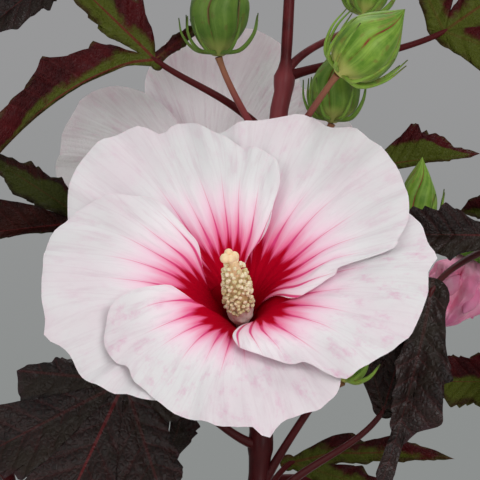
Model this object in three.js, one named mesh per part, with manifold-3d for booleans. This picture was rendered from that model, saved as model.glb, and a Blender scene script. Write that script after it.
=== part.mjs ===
// A potted rose mallow in bloom: a moulded pot of soil, four maroon stems, deeply lobed dark leaves,
// two open blooms, one furled spent bloom, and buds at every stage.
// Millimetres, +Z up, the origin at the centre of the pot's flat base, the front towards -Y.
import * as THREE from "three";
import Module from "manifold-3d";
import { mergeVertices } from "three/addons/utils/BufferGeometryUtils.js";

const wasm = await Module();
wasm.setup();

// Driving dimensions
const gap = 0.3; // clearance wherever two pieces touch
const pot = { height: 190, footRadius: 82, rimRadius: 115, wall: 3, floor: 3.5, rimBand: 16, rimOut: 4 };
const drain = { count: 8, ringRadius: 56, radius: 6 };
const soil = { top: 168, mound: 6 };
const stemSides = 8;
const stemStep = 30;
const petiole = { rootRadius: 2.4, tipRadius: 1.5, sides: 4, steps: 3 };
const pedicel = { rootRadius: 2.6, bloomRadius: 2.2, budRadius: 1.7, sides: 4, steps: 3, bow: 0.05 };
const blade = { thick: 1.6, heel: 0.07, shoulder: 0.11, cut: 0.2, notch: 0.8, tooth: 1.12, apart: 0.93 };
const petal = {
  reach: 87, throatRadius: 5, rise: 41, recurve: 3, corner: 0.5, lift: 4.5, ruffle: 2.4, thick: 1.1,
};
const petalGrid = { across: 6, along: 5 };
const sepal = { count: 5, rootRadius: 13.6, length: 17, rootHeight: 4.5, rise: 13, halfAngle: 0.55, thick: 1.6 };
const anther = { count: 18, radius: 2.8, first: 13, last: 51 };
const bloomFoot = -13.7; // underside of an open bloom's calyx, below its throat
const spentFoot = -9.7; // the same on the spent bloom
const spentBloom = { length: 46, radius: 13.5, pleat: 0.28, pleats: 5 };
const bud = { sides: 10, ridge: 0.07, stalkRadius: 2.5 };
const bract = { rootRadius: 1.2, tipRadius: 0.45 };

const finish = (color, roughness) => new THREE.MeshStandardMaterial({ color, roughness, metalness: 0 });
const look = {
  pot: finish(0x8a5a45, 0.55),
  soil: finish(0x2f241d, 0.95),
  stem: finish(0x5c2229, 0.4),
  darkLeaf: finish(0x2a1b1c, 0.5),
  greenLeaf: finish(0x4a5526, 0.5),
  petal: finish(0xf1e4e8, 0.6),
  spent: finish(0xc9708f, 0.6),
  column: finish(0xe6d39a, 0.7),
  bud: finish(0x74a034, 0.5),
};

const vec = (x, y, z) => new THREE.Vector3(x, y, z);
const radians = THREE.MathUtils.degToRad;
const between = (a, b) => (t) => a + (b - a) * t;
const times = (count, make) => Array.from({ length: count }, (_, k) => make(k));

// Solids in and out of manifold-3d

function solid(geometry) {
  const bare = new THREE.BufferGeometry();
  bare.setAttribute("position", geometry.getAttribute("position"));
  if (geometry.index) bare.setIndex(geometry.index);
  const merged = mergeVertices(bare, 1e-3);
  const index = merged.index.array;
  const triangles = [];
  for (let i = 0; i < index.length; i += 3) {
    const [a, b, c] = [index[i], index[i + 1], index[i + 2]];
    if (a !== b && b !== c && a !== c) triangles.push(a, b, c);
  }
  const vertProperties = merged.attributes.position.array;
  return new wasm.Manifold(new wasm.Mesh({ numProp: 3, vertProperties, triVerts: new Uint32Array(triangles) }));
}

function node(name, shape, material) {
  const mesh = shape.getMesh();
  const points = new Float32Array(mesh.numVert * 3);
  for (let i = 0; i < mesh.numVert; i++) {
    points.set(mesh.vertProperties.subarray(i * mesh.numProp, i * mesh.numProp + 3), i * 3);
  }
  const geometry = new THREE.BufferGeometry();
  geometry.setAttribute("position", new THREE.BufferAttribute(points, 3));
  geometry.setIndex(new THREE.BufferAttribute(mesh.triVerts, 1));
  geometry.computeVertexNormals();
  const made = new THREE.Mesh(geometry, material);
  made.name = name;
  return made;
}

const joined = (shapes) => shapes.reduce((whole, next) => whole.add(next));

// The largest body of a solid: a cut at a stem can leave a crumb on its far side.
function withoutCrumbs(shape) {
  return shape.decompose().reduce((largest, body) => (body.volume() > largest.volume() ? body : largest));
}

// A frame whose first axis is aim and whose third leans towards face.
function bladeFrame(origin, aim, face) {
  const x = aim.clone().normalize();
  const z = face.clone().addScaledVector(x, -face.dot(x)).normalize();
  return new THREE.Matrix4().makeBasis(x, z.clone().cross(x), z).setPosition(origin);
}

// A frame whose third axis is the given one, for what grows round an axis.
function axisFrame(origin, axis, side = vec(1, 0, 0)) {
  const z = axis.clone().normalize();
  const x = side.clone().addScaledVector(z, -side.dot(z)).normalize();
  return new THREE.Matrix4().makeBasis(x, z.clone().cross(x), z).setPosition(origin);
}

// A solid turned round Z from a closed profile of radius and height.
function lathe(profile, sides) {
  const shape = new THREE.LatheGeometry(profile.map(([r, z]) => new THREE.Vector2(r, z)), sides);
  return shape.rotateX(Math.PI / 2);
}

// Scales each point of a turned shape away from its axis, by its angle and its height.
function fluted(shape, scaleAt) {
  const position = shape.getAttribute("position");
  for (let i = 0; i < position.count; i++) {
    const [x, y, z] = [position.getX(i), position.getY(i), position.getZ(i)];
    const scale = scaleAt(Math.atan2(y, x), z);
    position.setXYZ(i, x * scale, y * scale, z);
  }
  return shape;
}

// A closed round bar along a curve: a cylinder bent to follow it, with a radius for each step.
function bar(curve, radiusAt, sides, steps) {
  const shape = new THREE.CylinderGeometry(1, 1, 1, sides, steps);
  const frames = curve.computeFrenetFrames(steps, false);
  const position = shape.getAttribute("position");
  for (let i = 0; i < position.count; i++) {
    const row = Math.round((position.getY(i) + 0.5) * steps);
    const r = radiusAt(row / steps);
    const point = curve
      .getPointAt(row / steps)
      .addScaledVector(frames.normals[row], position.getX(i) * r)
      .addScaledVector(frames.binormals[row], -position.getZ(i) * r);
    position.setXYZ(i, point.x, point.y, point.z);
  }
  return solid(shape);
}

// A thin closed sheet from its middle surface: two faces split alike that meet at the edge.
function thinSheet(points, onEdge, triangles, thick) {
  const middle = new THREE.BufferGeometry().setFromPoints(points);
  middle.setIndex(triangles);
  middle.computeVertexNormals();
  const normal = middle.getAttribute("normal");
  const face = (side) =>
    points.map((point, i) => {
      const away = onEdge[i] ? 0 : (side * thick) / 2;
      return point.clone().addScaledVector(vec(normal.getX(i), normal.getY(i), normal.getZ(i)), away);
    });
  const index = [...triangles];
  for (let i = 0; i < triangles.length; i += 3) {
    index.push(...[triangles[i], triangles[i + 2], triangles[i + 1]].map((k) => k + points.length));
  }
  const closed = new THREE.BufferGeometry().setFromPoints([...face(1), ...face(-1)]);
  closed.setIndex(index);
  return solid(closed);
}

// A sheet over a grid: v runs from -1 to 1 across it and row from 0 to 1 along it.
function gridSheet(across, along, pointAt, thick) {
  const grid = new THREE.PlaneGeometry(2, 1, across, along);
  const position = grid.getAttribute("position");
  const points = [];
  const onEdge = [];
  for (let i = 0; i < position.count; i++) {
    const [v, row] = [position.getX(i), position.getY(i) + 0.5];
    points.push(pointAt(v, row));
    onEdge.push(Math.abs(v) > 0.999 || row < 0.001 || row > 0.999);
  }
  return thinSheet(points, onEdge, [...grid.index.array], thick);
}

// Stems: each a smooth curve through hand-placed points, thinning towards its top.

const stemPaths = {
  main: {
    radii: [7, 2.6],
    path: [
      [-6, 2, 106], [-4, 2, 170], [0, 0, 260], [5, -2, 340], [10, 0, 415], [16, 4, 500],
      [22, 5, 580], [25, 6, 640], [27, 8, 675], [24, 11, 706],
    ],
  },
  right: {
    radii: [5.6, 2.2],
    path: [
      [20, -8, 106], [24, -9, 170], [54, -4, 250], [94, 3, 325], [126, 8, 395], [137, 8, 460],
      [143, 6, 520], [152, 14, 560], [163, 24, 592],
    ],
  },
  left: {
    radii: [5.4, 2.4],
    path: [[-26, 2, 106], [-30, 3, 170], [-56, 12, 245], [-88, 24, 315], [-112, 32, 375], [-122, 34, 420]],
  },
  back: {
    radii: [5.4, 2.4],
    path: [[4, 24, 106], [6, 30, 170], [10, 56, 245], [13, 82, 320], [13, 98, 375], [13, 104, 410]],
  },
};

const stems = {};
for (const [name, { radii, path }] of Object.entries(stemPaths)) {
  const curve = new THREE.CatmullRomCurve3(path.map((p) => vec(...p)), false, "catmullrom", 0.5);
  const steps = Math.round(curve.getLength() / stemStep);
  const wood = bar(curve, between(...radii), stemSides, steps);
  const clearance = bar(curve, between(radii[0] + gap, radii[1] + gap), stemSides, steps);
  stems[name] = { curve, wood, clearance, stalks: [] };
}

// The point of a stem at a height: the curves only rise, so halving finds it.
function stemAt(name, height) {
  let [low, high] = [0, 1];
  for (let i = 0; i < 40; i++) {
    const half = (low + high) / 2;
    if (stems[name].curve.getPoint(half).z < height) low = half;
    else high = half;
  }
  return stems[name].curve.getPoint(low);
}

// A stalk that leaves a stem upwards and arrives along a direction.
function stalkCurve(from, to, arriving, bow) {
  const chord = to.clone().sub(from);
  const reach = chord.length();
  const first = from.clone().addScaledVector(chord, 0.3);
  first.z += bow * reach;
  const second = to.clone().addScaledVector(arriving.clone().normalize(), -0.32 * reach);
  return new THREE.CubicBezierCurve3(from, first, second, to);
}

// A flower stalk: it is one piece with its stem, and stops a gap short of the flower.
function growPedicel(stem, height, to, axis, tipRadius) {
  const curve = stalkCurve(stemAt(stem, height), to, axis, pedicel.bow);
  stems[stem].stalks.push(bar(curve, between(pedicel.rootRadius, tipRadius), pedicel.sides, pedicel.steps));
}

// Leaves: palmate blades. A lobe is a strip of teeth along its midrib, and neighbouring lobes
// share the vertex at the bottom of the cut between them.

// Each lobe: its angle from the middle lobe in degrees, its share of the leaf's length, and how
// far its midrib bends sideways by its tip, as a share of its own length.
const threeLobes = [[52, 0.78, 0], [0, 1, 0], [-52, 0.78, 0]];
const fiveLobes = [[98, 0.46, 0], [48, 0.8, 0], [0, 1, 0], [-48, 0.8, 0], [-98, 0.46, 0]];

// Half the width of a lobe at a share of its length, 1 at its widest.
const lobeWidth = (t) => (t ** 0.8 * (1 - t) ** 0.9) / 0.3087;

function leafBlade({ length, lobes, wide = 0.19, cut = blade.cut, droop = 0.25, fold = 0.3, wave = 2.2, phase }) {
  const points = [];
  const onEdge = [];
  const triangles = [];
  const add = (x, y, rise, edge) => {
    const far = Math.hypot(x, y) / length;
    points.push(vec(x, y, rise - droop * length * far * far));
    onEdge.push(edge);
    return points.length - 1;
  };
  const addPolar = (degrees, share, edge) => {
    const angle = radians(degrees);
    return add(share * length * Math.cos(angle), share * length * Math.sin(angle), 0, edge);
  };
  // A point of a lobe: a share along its midrib and a distance to its side.
  const addOnLobe = ([degrees, share, curl], t, side, edge) => {
    const angle = radians(degrees);
    const along = t * share * length;
    const across = side + curl * share * length * t * t;
    const ripple = wave * Math.sin(9 * t + 2.1 * degrees + phase) * Math.min(1, Math.abs(side) / (0.1 * length));
    return add(
      along * Math.cos(angle) - across * Math.sin(angle),
      along * Math.sin(angle) + across * Math.cos(angle),
      fold * Math.abs(side) + ripple,
      edge,
    );
  };
  const last = lobes.length - 1;
  const root = addPolar(0, 0, false);
  const heel = addPolar(180, blade.heel, true);
  const cuts = [addPolar(lobes[0][0] + 55, blade.shoulder, true)];
  for (let k = 0; k < last; k++) {
    const [one, other] = [lobes[k][1], lobes[k + 1][1]];
    const depth = cut * Math.min(1, (one + other) / 1.7, 1.3 * Math.min(one, other));
    cuts.push(addPolar((lobes[k][0] + lobes[k + 1][0]) / 2, depth, true));
  }
  cuts.push(addPolar(lobes[last][0] - 55, blade.shoulder, true));
  triangles.push(root, heel, cuts[last + 1], root, cuts[0], heel);
  lobes.forEach((lobe, k) => {
    const share = lobe[1];
    const teeth = share > 0.9 ? 3 : 2;
    const start = Math.min(0.45, (cut * 0.9) / share);
    const step = (1 - start) / teeth;
    const half = wide * length * (0.55 + 0.45 * share);
    // Half the angle to the lobe on either side, which the teeth stop short of.
    const spread = [lobes[k - 1]?.[0] - lobe[0], lobe[0] - lobes[k + 1]?.[0]].map((turn) => radians(turn / 2 || 80));
    const margin = (t, out) =>
      [1, -1].map((side, i) => {
        const bend = lobe[2] * share * length * t * t;
        const room = blade.apart * t * share * length * Math.tan(spread[i]) - side * bend;
        return addOnLobe(lobe, t, side * Math.min(half * lobeWidth(t) * out, room), true);
      });
    let rib = addOnLobe(lobe, start, 0, false);
    let notches = [cuts[k], cuts[k + 1]];
    triangles.push(root, notches[1], rib, root, rib, notches[0]);
    for (let j = 1; j <= teeth; j++) {
      const t = start + step * j;
      const tips = margin(t - 0.25 * step, blade.tooth);
      const nextRib = addOnLobe(lobe, t, 0, j === teeth);
      triangles.push(rib, tips[0], notches[0], rib, nextRib, tips[0]);
      triangles.push(rib, notches[1], tips[1], rib, tips[1], nextRib);
      if (j < teeth) {
        notches = margin(t, blade.notch);
        triangles.push(nextRib, notches[0], tips[0], nextRib, tips[1], notches[1]);
      }
      rib = nextRib;
    }
  });
  return thinSheet(points, onEdge, triangles, blade.thick);
}

// A leaf is its petiole and blade in one piece, seated against its stem.
function leafNode(leaf, index) {
  const { name, stem, node: height, base, aim, face, lobes = threeLobes, bow = 0.16, green = false } = leaf;
  const from = stemAt(stem, height);
  const to = vec(...base);
  const direction = vec(...aim).normalize();
  const arriving = to.clone().sub(from).normalize().add(direction);
  const radiusAt = between(petiole.rootRadius, petiole.tipRadius);
  const stalk = bar(stalkCurve(from, to, arriving, bow), radiusAt, petiole.sides, petiole.steps);
  const lamina = leafBlade({ ...leaf, lobes, phase: index });
  const placed = lamina.transform(bladeFrame(to, direction, vec(...face)).elements);
  const seated = withoutCrumbs(stalk.add(placed).subtract(stems[stem].clearance));
  return node("leaf_" + name, seated, green ? look.greenLeaf : look.darkLeaf);
}

// node is the height where the petiole leaves its stem, base where it meets the blade, aim the
// direction of the middle lobe, and face the side that the upper surface looks to.
const leaves = [
  { name: "crown_left", stem: "main", node: 566, base: [-42, -5, 609], aim: [-0.8, -0.05, 0.6],
    face: [0.1, -0.95, 0.3], length: 86, lobes: [[45, 1.1, 0.5], [-8, 1, 0], [-104, 0.36, 0]], wide: 0.14,
    droop: 0.05, green: true },
  { name: "crown_top_left", stem: "main", node: 655, base: [-79, 35, 667], aim: [-0.82, 0.05, -0.57],
    face: [-0.2, -0.9, 0.4], length: 80, lobes: [[86, 0.5, 0], [0, 1, 0], [-60, 0.8, 0]], droop: 0.1 },
  { name: "crown_right", stem: "main", node: 601, base: [102, 8, 624], aim: [0.81, -0.1, 0.59],
    face: [-0.1, -0.95, 0.3], length: 82, lobes: [[88, 0.6, 0], [0, 1, 0], [-57, 0.8, 0]], bow: 0.02, green: true },
  { name: "side_right", stem: "main", node: 535, base: [66, 20, 557], aim: [0.99, 0, 0.14],
    face: [-0.1, -0.9, 0.4], length: 56, lobes: [[22, 0.62, 0], [0, 1, 0], [-62, 0.5, 0]], cut: 0.5, wide: 0.17,
    droop: 0.05, green: true },
  { name: "side_left", stem: "main", node: 508, base: [-75, 0, 529], aim: [-0.98, -0.1, -0.1],
    face: [0.1, -0.95, 0.3], length: 66, lobes: [[72, 0.6, 0], [0, 1, 0], [-41, 0.95, 0]], wide: 0.15, droop: 0.05,
    green: true },
  { name: "low_left", stem: "main", node: 418, base: [-55, -35, 452], aim: [-0.42, -0.25, -0.87],
    face: [-0.3, -0.9, 0.35], length: 104, cut: 0.5, wide: 0.27, droop: 0.05,
    lobes: [[95, 0.4, 0], [44, 0.8, 0], [0, 1, 0], [-42, 0.9, 0], [-76, 0.56, 0]] },
  { name: "behind_left", stem: "main", node: 352, base: [-38, 12, 411], aim: [-0.2, 0.35, 0.9],
    face: [0.1, -0.95, 0.3], length: 66, lobes: [[55, 0.8, 0], [0, 1, 0], [-38, 0.6, 0.2]] },
  { name: "low_right", stem: "main", node: 364, base: [26, 35, 406], aim: [0.97, 0, 0.22],
    face: [0.1, -0.95, 0.3], length: 82, lobes: [[0, 1, -0.2], [-30, 0.7, 0]], cut: 0.3, wide: 0.12,
    droop: 0.03, green: true },
  { name: "upright_right", stem: "main", node: 381, base: [68, -18, 437], aim: [0.28, -0.05, 0.96],
    face: [-0.15, -0.95, 0.2], length: 54, lobes: [[36, 0.75, 0], [0, 1, 0], [-36, 0.75, 0]], cut: 0.4, wide: 0.22,
    droop: 0.05 },
  { name: "top_back", stem: "main", node: 672, base: [44, 60, 690], aim: [0.5, 0.8, -0.25],
    face: [0, 0.2, 1], length: 70, green: true },
  { name: "top_right", stem: "main", node: 690, base: [72, 2, 712], aim: [0.9, -0.2, -0.2],
    face: [0, -0.1, 1], length: 54, green: true },
  { name: "top_left", stem: "main", node: 684, base: [-6, 36, 724], aim: [-0.6, 0.7, -0.1],
    face: [0, 0, 1], length: 44, green: true },
  { name: "base_front", stem: "main", node: 345, base: [-30, -70, 356], aim: [-0.25, -0.8, -0.5],
    face: [0, -0.4, 0.9], length: 112, lobes: fiveLobes },
  { name: "base_right", stem: "main", node: 300, base: [66, -52, 322], aim: [0.7, -0.6, -0.35],
    face: [0.2, -0.3, 0.9], length: 108, lobes: fiveLobes },
  { name: "base_left", stem: "main", node: 268, base: [-74, -48, 276], aim: [-0.8, -0.5, -0.4],
    face: [-0.3, -0.2, 0.9], length: 112, lobes: fiveLobes },
  { name: "base_low", stem: "main", node: 228, base: [30, -82, 244], aim: [0.35, -0.85, -0.4],
    face: [0, -0.4, 0.9], length: 104, lobes: fiveLobes },

  { name: "right_hanging", stem: "right", node: 524, base: [92, -30, 495], aim: [-0.19, -0.1, -0.98],
    face: [0.1, -0.98, 0.1], length: 100, lobes: [[20, 0.66, 0], [0, 1, -0.05]], cut: 0.6,
    wide: 0.12, droop: 0.02, bow: 0.02 },
  { name: "right_pointing", stem: "right", node: 505, base: [121, -38, 522], aim: [-1, -0.05, 0.02],
    face: [0, -0.95, 0.3], length: 60, lobes: [[105, 0.55, 0], [0, 1, 0], [-105, 0.55, 0]], wide: 0.22,
    droop: 0.02 },
  { name: "right_behind", stem: "right", node: 445, base: [143, 42, 443], aim: [-1, -0.1, 0.03],
    face: [0, -0.95, 0.3], length: 54, lobes: [[105, 0.5, 0], [0, 1, 0], [-105, 0.5, 0]], wide: 0.26, droop: 0.05,
    green: true },
  { name: "right_small", stem: "right", node: 534, base: [150, -8, 535], aim: [-1, -0.1, 0],
    face: [0, -0.9, 0.4], length: 42, lobes: [[100, 0.5, 0], [0, 1, 0], [-100, 0.5, 0]], wide: 0.26, droop: 0.05,
    green: true },
  { name: "right_top", stem: "right", node: 575, base: [200, 4, 606], aim: [0.75, -0.5, 0.1],
    face: [-0.2, -0.2, 1], length: 72, green: true },
  { name: "right_back", stem: "right", node: 480, base: [186, 44, 500], aim: [0.7, 0.55, -0.35],
    face: [0.2, 0.2, 1], length: 84 },
  { name: "right_out", stem: "right", node: 415, base: [196, -34, 424], aim: [0.85, -0.35, -0.45],
    face: [0.3, -0.1, 0.9], length: 96, lobes: fiveLobes },
  { name: "right_front", stem: "right", node: 340, base: [124, -68, 352], aim: [0.4, -0.75, -0.5],
    face: [0.2, -0.4, 0.9], length: 100, lobes: fiveLobes },
  { name: "right_low", stem: "right", node: 285, base: [140, 40, 290], aim: [0.8, 0.35, -0.45],
    face: [0.3, 0.1, 0.9], length: 104, lobes: fiveLobes },

  { name: "left_top", stem: "left", node: 398, base: [-170, 8, 430], aim: [-0.8, -0.4, -0.1],
    face: [-0.2, -0.2, 1], length: 76, green: true },
  { name: "left_back", stem: "left", node: 390, base: [-128, 92, 404], aim: [-0.4, 0.8, -0.35],
    face: [-0.1, 0.2, 1], length: 86 },
  { name: "left_out", stem: "left", node: 350, base: [-172, 30, 352], aim: [-0.85, 0.1, -0.5],
    face: [-0.4, 0, 0.9], length: 100, lobes: fiveLobes },
  { name: "left_front", stem: "left", node: 312, base: [-130, -34, 322], aim: [-0.55, -0.7, -0.45],
    face: [-0.2, -0.3, 0.9], length: 100 },
  { name: "left_low", stem: "left", node: 262, base: [-120, 58, 268], aim: [-0.65, 0.55, -0.45],
    face: [-0.3, 0.2, 0.9], length: 104, lobes: fiveLobes },

  { name: "back_top", stem: "back", node: 388, base: [78, 136, 375], aim: [0.65, 0.65, -0.3],
    face: [0.2, 0.2, 1], length: 78, green: true },
  { name: "back_left", stem: "back", node: 372, base: [0, 130, 384], aim: [-0.6, 0.7, -0.35],
    face: [-0.2, 0.2, 1], length: 88 },
  { name: "back_right", stem: "back", node: 330, base: [98, 112, 330], aim: [0.75, 0.5, -0.45],
    face: [0.2, 0.3, 0.9], length: 94 },
  { name: "back_low", stem: "back", node: 270, base: [-24, 112, 286], aim: [-0.4, 0.8, -0.5],
    face: [-0.1, 0.3, 0.9], length: 104, lobes: fiveLobes },
];

// Blooms: five broad petals that overlap one way round, joined at a narrow throat.

const petalRadius = (u, reach) => petal.throatRadius + petal.reach * reach * u ** 1.35;
const petalRise = (u) => petal.rise * (1 - (1 - u) ** 2.6) - petal.recurve * u ** 4;

// One petal: azimuth of its middle and half its span in degrees, its reach, how much further its
// anticlockwise half reaches, and the power that squares off its rim.
function petalSheet([azimuth, half, reach, skew, square], phase) {
  const pointAt = (across, row) => {
    const v = Math.sin((across * Math.PI) / 2);
    const u = row * (petal.corner + (1 - petal.corner) * (1 - Math.abs(v) ** square) ** 0.8);
    const claw = 0.5 + 0.5 * THREE.MathUtils.smoothstep(u, 0, 0.42);
    const angle = radians(azimuth + v * half * claw);
    const r = petalRadius(u, reach * (1 + skew * v));
    const ruffle = petal.ruffle * Math.sin(8 * angle + phase) * u ** 3;
    const lift = -petal.lift * v * Math.min(1, u / 0.3);
    return vec(r * Math.cos(angle), r * Math.sin(angle), petalRise(u) + lift + ruffle);
  };
  return gridSheet(petalGrid.across, petalGrid.along, pointAt, petal.thick);
}

function petals(shapes, phase) {
  const throat = [[3.2, -7.6], [7, -7.6], [8.6, 5], [6, 6], [4, 0], [3.2, -7.6]];
  return joined([solid(lathe(throat, 10)), ...shapes.map((shape) => petalSheet(shape, phase))]);
}

// Slender bracts that spring from below a calyx and curve up round it.
function bracts(count, foot, out, tall, spread) {
  return times(count, (k) => {
    const turn = (k / count) * 2 * Math.PI + 0.4 * Math.sin(5 * k);
    const rise = tall * (1 + 0.12 * Math.sin(3 * k + 1));
    const spine = [[2, 0], [out * 0.75, 0.08 * rise], [out + spread * 0.6, 0.5 * rise], [out + spread, rise]];
    const path = spine.map(([r, z]) => vec(r * Math.cos(turn), r * Math.sin(turn), foot + z));
    return bar(new THREE.CatmullRomCurve3(path), between(bract.rootRadius, bract.tipRadius), 3, 2);
  });
}

function openCalyx() {
  const cup = [
    [0, bloomFoot], [2.6, bloomFoot], [7, -12], [11.5, -6], [15.5, 8], [14.3, 8], [9.9, -5.6], [7.6, -8], [0, -8],
  ];
  const sepals = times(sepal.count, (k) => {
    const turn = (k * 2 * Math.PI) / sepal.count + 0.3;
    const pointAt = (v, row) => {
      const angle = turn + v * (sepal.halfAngle * (1 - row) ** 0.8 + 0.001);
      const r = sepal.rootRadius + sepal.length * row;
      return vec(r * Math.cos(angle), r * Math.sin(angle), sepal.rootHeight + sepal.rise * row);
    };
    return gridSheet(2, 2, pointAt, sepal.thick);
  });
  return joined([solid(lathe(cup, 10)), ...sepals, ...bracts(8, -11, 17, 20, 8)]);
}

// The staminal column: a slender core set all round with anthers, and the stigmas as its head.
function staminalColumn() {
  const core = [
    [0, -7.6], [2.8, -7.6], [2.8, 4], [6.4, 13], [6.8, 28], [5, 43], [2.2, 51], [3.4, 56], [0, 60],
  ];
  const goldenTurn = Math.PI * (3 - Math.sqrt(5));
  const anthers = times(anther.count, (k) => {
    const t = (k + 0.5) / anther.count;
    const r = 7.4 - 3.2 * t ** 2;
    const place = [r * Math.cos(k * goldenTurn), r * Math.sin(k * goldenTurn), between(anther.first, anther.last)(t)];
    return solid(new THREE.OctahedronGeometry(anther.radius)).translate(place);
  });
  return joined([solid(lathe(core, 8)), ...anthers]);
}

const blooms = [
  {
    name: "bloom_front", stem: "main", height: 428, throat: [1, -50, 479.8], axis: [-0.077, -0.816, 0.573],
    side: [1, 0, 0], phase: 1,
    shapes: [
      [116, 55, 1.06, 0.15, 5], [56, 66, 1.08, 0.05, 2.5], [-10, 70, 0.97, 0.1, 2.5], [-108, 70, 0.88, 0.08, 5],
      [190, 65, 1, 0, 5],
    ],
  },
  {
    name: "bloom_rear", stem: "main", height: 478, throat: [-14, 56, 538], axis: [-0.15, 0.86, 0.48],
    side: [-1, 0, 0], phase: 2.4,
    shapes: [
      [103, 54, 0.92, 0, 2.5], [12, 56, 0.92, 0, 3], [-58, 58, 0.9, 0, 3], [-128, 58, 0.88, 0, 3],
      [172, 56, 0.86, 0, 2.5],
    ],
  },
];

function openBloom({ name, stem, height, throat, axis, side, phase, shapes }) {
  const origin = vec(...throat);
  const direction = vec(...axis).normalize();
  const foot = origin.clone().addScaledVector(direction, bloomFoot - gap);
  growPedicel(stem, height, foot, direction, pedicel.bloomRadius);
  const bloom = new THREE.Group();
  bloom.add(node(name + "_petals", petals(shapes, phase), look.petal));
  bloom.add(node(name + "_column", staminalColumn(), look.column));
  bloom.add(node(name + "_calyx", openCalyx(), look.bud));
  bloom.applyMatrix4(axisFrame(origin, direction, vec(...side)));
  return bloom;
}

// A furled spent bloom: pleats that twist as they close, hanging from its calyx.
function furledBloom() {
  const { length, radius, pleat, pleats } = spentBloom;
  const outline = [[0, 1], [5, 1], [6.5, 9]];
  for (const t of [0.35, 0.5, 0.65, 0.8, 0.92, 1]) {
    outline.push([radius * Math.sin(Math.PI * t) ** 0.6, length * t]);
  }
  const twisted = (angle, z) => {
    const depth = pleat * THREE.MathUtils.clamp((z - 9) / 10, 0, 1);
    return 1 + depth * Math.cos(pleats * angle + 0.05 * z);
  };
  return solid(fluted(lathe(outline, 15), twisted));
}

function spentCalyx() {
  const cup = [
    [0, spentFoot], [2.6, spentFoot], [7, -5], [9, 2], [10.5, 9], [9.6, 9], [8, 2.4], [5, 0.5], [0, 0.5],
  ];
  return joined([solid(lathe(cup, 10)), ...bracts(7, -7, 12, 16, 4)]);
}

function spentFlower() {
  const throat = vec(122, 36, 517);
  const direction = vec(-0.45, -0.1, -0.88).normalize();
  const foot = throat.clone().addScaledVector(direction, spentFoot - gap);
  growPedicel("right", 514, foot, direction, pedicel.bloomRadius);
  const flower = new THREE.Group();
  flower.add(node("bloom_spent_corolla", furledBloom(), look.spent));
  flower.add(node("bloom_spent_calyx", spentCalyx(), look.bud));
  flower.applyMatrix4(axisFrame(throat, direction));
  return flower;
}

// Buds: five sepals closed to a point, ringed by bracts that reach past it by some millimetres.

// Each bud: name, stem, height of its node, base, axis, length, radius, and the bracts' outward reach.
const buds = [
  ["large", "main", 552, [46.3, -40, 598.8], [0.71, -0.17, 0.68], 45, 14.5, 4],
  ["behind", "main", 540, [45, -13, 577], [0.08, 0, 1], 38, 11.5, 3],
  ["upright", "main", 556, [-12, -15, 609.5], [0.05, -0.1, 1], 44, 13.5, 6.5],
  ["high", "main", 613, [62, 24, 633], [0.22, 0.05, 0.97], 34, 10, 4],
  ["right", "main", 394, [87, -8, 520], [0.12, -0.05, 1], 41, 9.5, 2.5],
  ["low", "main", 440, [49, -38, 452], [0.45, 0.1, 0.85], 24, 7.5, 3.5],
  ["tip_main", "main", 694, [16, 8, 722], [-0.3, -0.1, 1], 22, 7, 2.5],
  ["tip_right", "right", 584, [170, 26, 618], [0.1, 0.1, 1], 26, 8, 2.5],
  ["left", "left", 412, [-142, 20, 442], [-0.15, -0.1, 1], 30, 9, 3],
  ["back", "back", 402, [10, 108, 436], [-0.2, 0.2, 1], 28, 8.5, 3],
];

function closedSepals(length, radius) {
  const shoulders = [[0.74, 0.14], [0.98, 0.32], [1, 0.46], [0.8, 0.66], [0.4, 0.85], [0, 1]];
  const outline = [[0, gap], [bud.stalkRadius, gap], [bud.stalkRadius + 0.9, 2]];
  for (const [r, z] of shoulders) outline.push([r * radius, z * length]);
  const ridged = (angle, z) => 1 + bud.ridge * Math.cos(5 * angle) * Math.min(1, z / (0.3 * length));
  return solid(fluted(lathe(outline, bud.sides), ridged));
}

function budNode([name, stem, height, base, axis, length, radius, reach]) {
  const origin = vec(...base);
  const direction = vec(...axis).normalize();
  growPedicel(stem, height, origin, direction, pedicel.budRadius);
  const shape = joined([closedSepals(length, radius), ...bracts(5, 2.5, radius + 2, 0.62 * length, reach)]);
  const made = node("bud_" + name, shape, look.bud);
  made.applyMatrix4(axisFrame(origin, direction));
  return made;
}

// Pot and soil

const potRadius = (z) => pot.footRadius + ((pot.rimRadius - pot.rimOut - pot.footRadius) * z) / pot.height;

function potShell() {
  const { height, footRadius, rimRadius, wall, floor, rimBand } = pot;
  const shoulder = height - rimBand;
  const outline = [
    [0, 0], [footRadius - 3, 0], [potRadius(3), 3], [potRadius(shoulder), shoulder],
    [rimRadius - 1, shoulder], [rimRadius, shoulder + 2], [rimRadius, height - 2], [rimRadius - 2, height],
    [potRadius(height) - wall, height], [potRadius(floor) - wall, floor], [0, floor],
  ];
  const holes = times(drain.count, (k) => {
    const turn = ((k + 0.5) * 2 * Math.PI) / drain.count;
    const plug = new THREE.CylinderGeometry(drain.radius, drain.radius, 3 * floor, 8).rotateX(Math.PI / 2);
    return solid(plug).translate([drain.ringRadius * Math.cos(turn), drain.ringRadius * Math.sin(turn), 0]);
  });
  return solid(lathe(outline, 28)).subtract(joined(holes));
}

// The soil fills the pot to just below its rim, and the stems stand in plain holes in it.
function soilBall() {
  const [low, high] = [pot.floor + gap, soil.top + soil.mound];
  const innerRadius = (z) => potRadius(z) - pot.wall - gap;
  const outline = [
    [0, low], [innerRadius(low), low], [innerRadius(soil.top), soil.top],
    [70, soil.top + soil.mound / 2], [32, high], [0, high],
  ];
  const clearances = Object.values(stems).map((stem) => stem.clearance);
  return solid(lathe(outline, 28)).subtract(joined(clearances));
}

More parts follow.
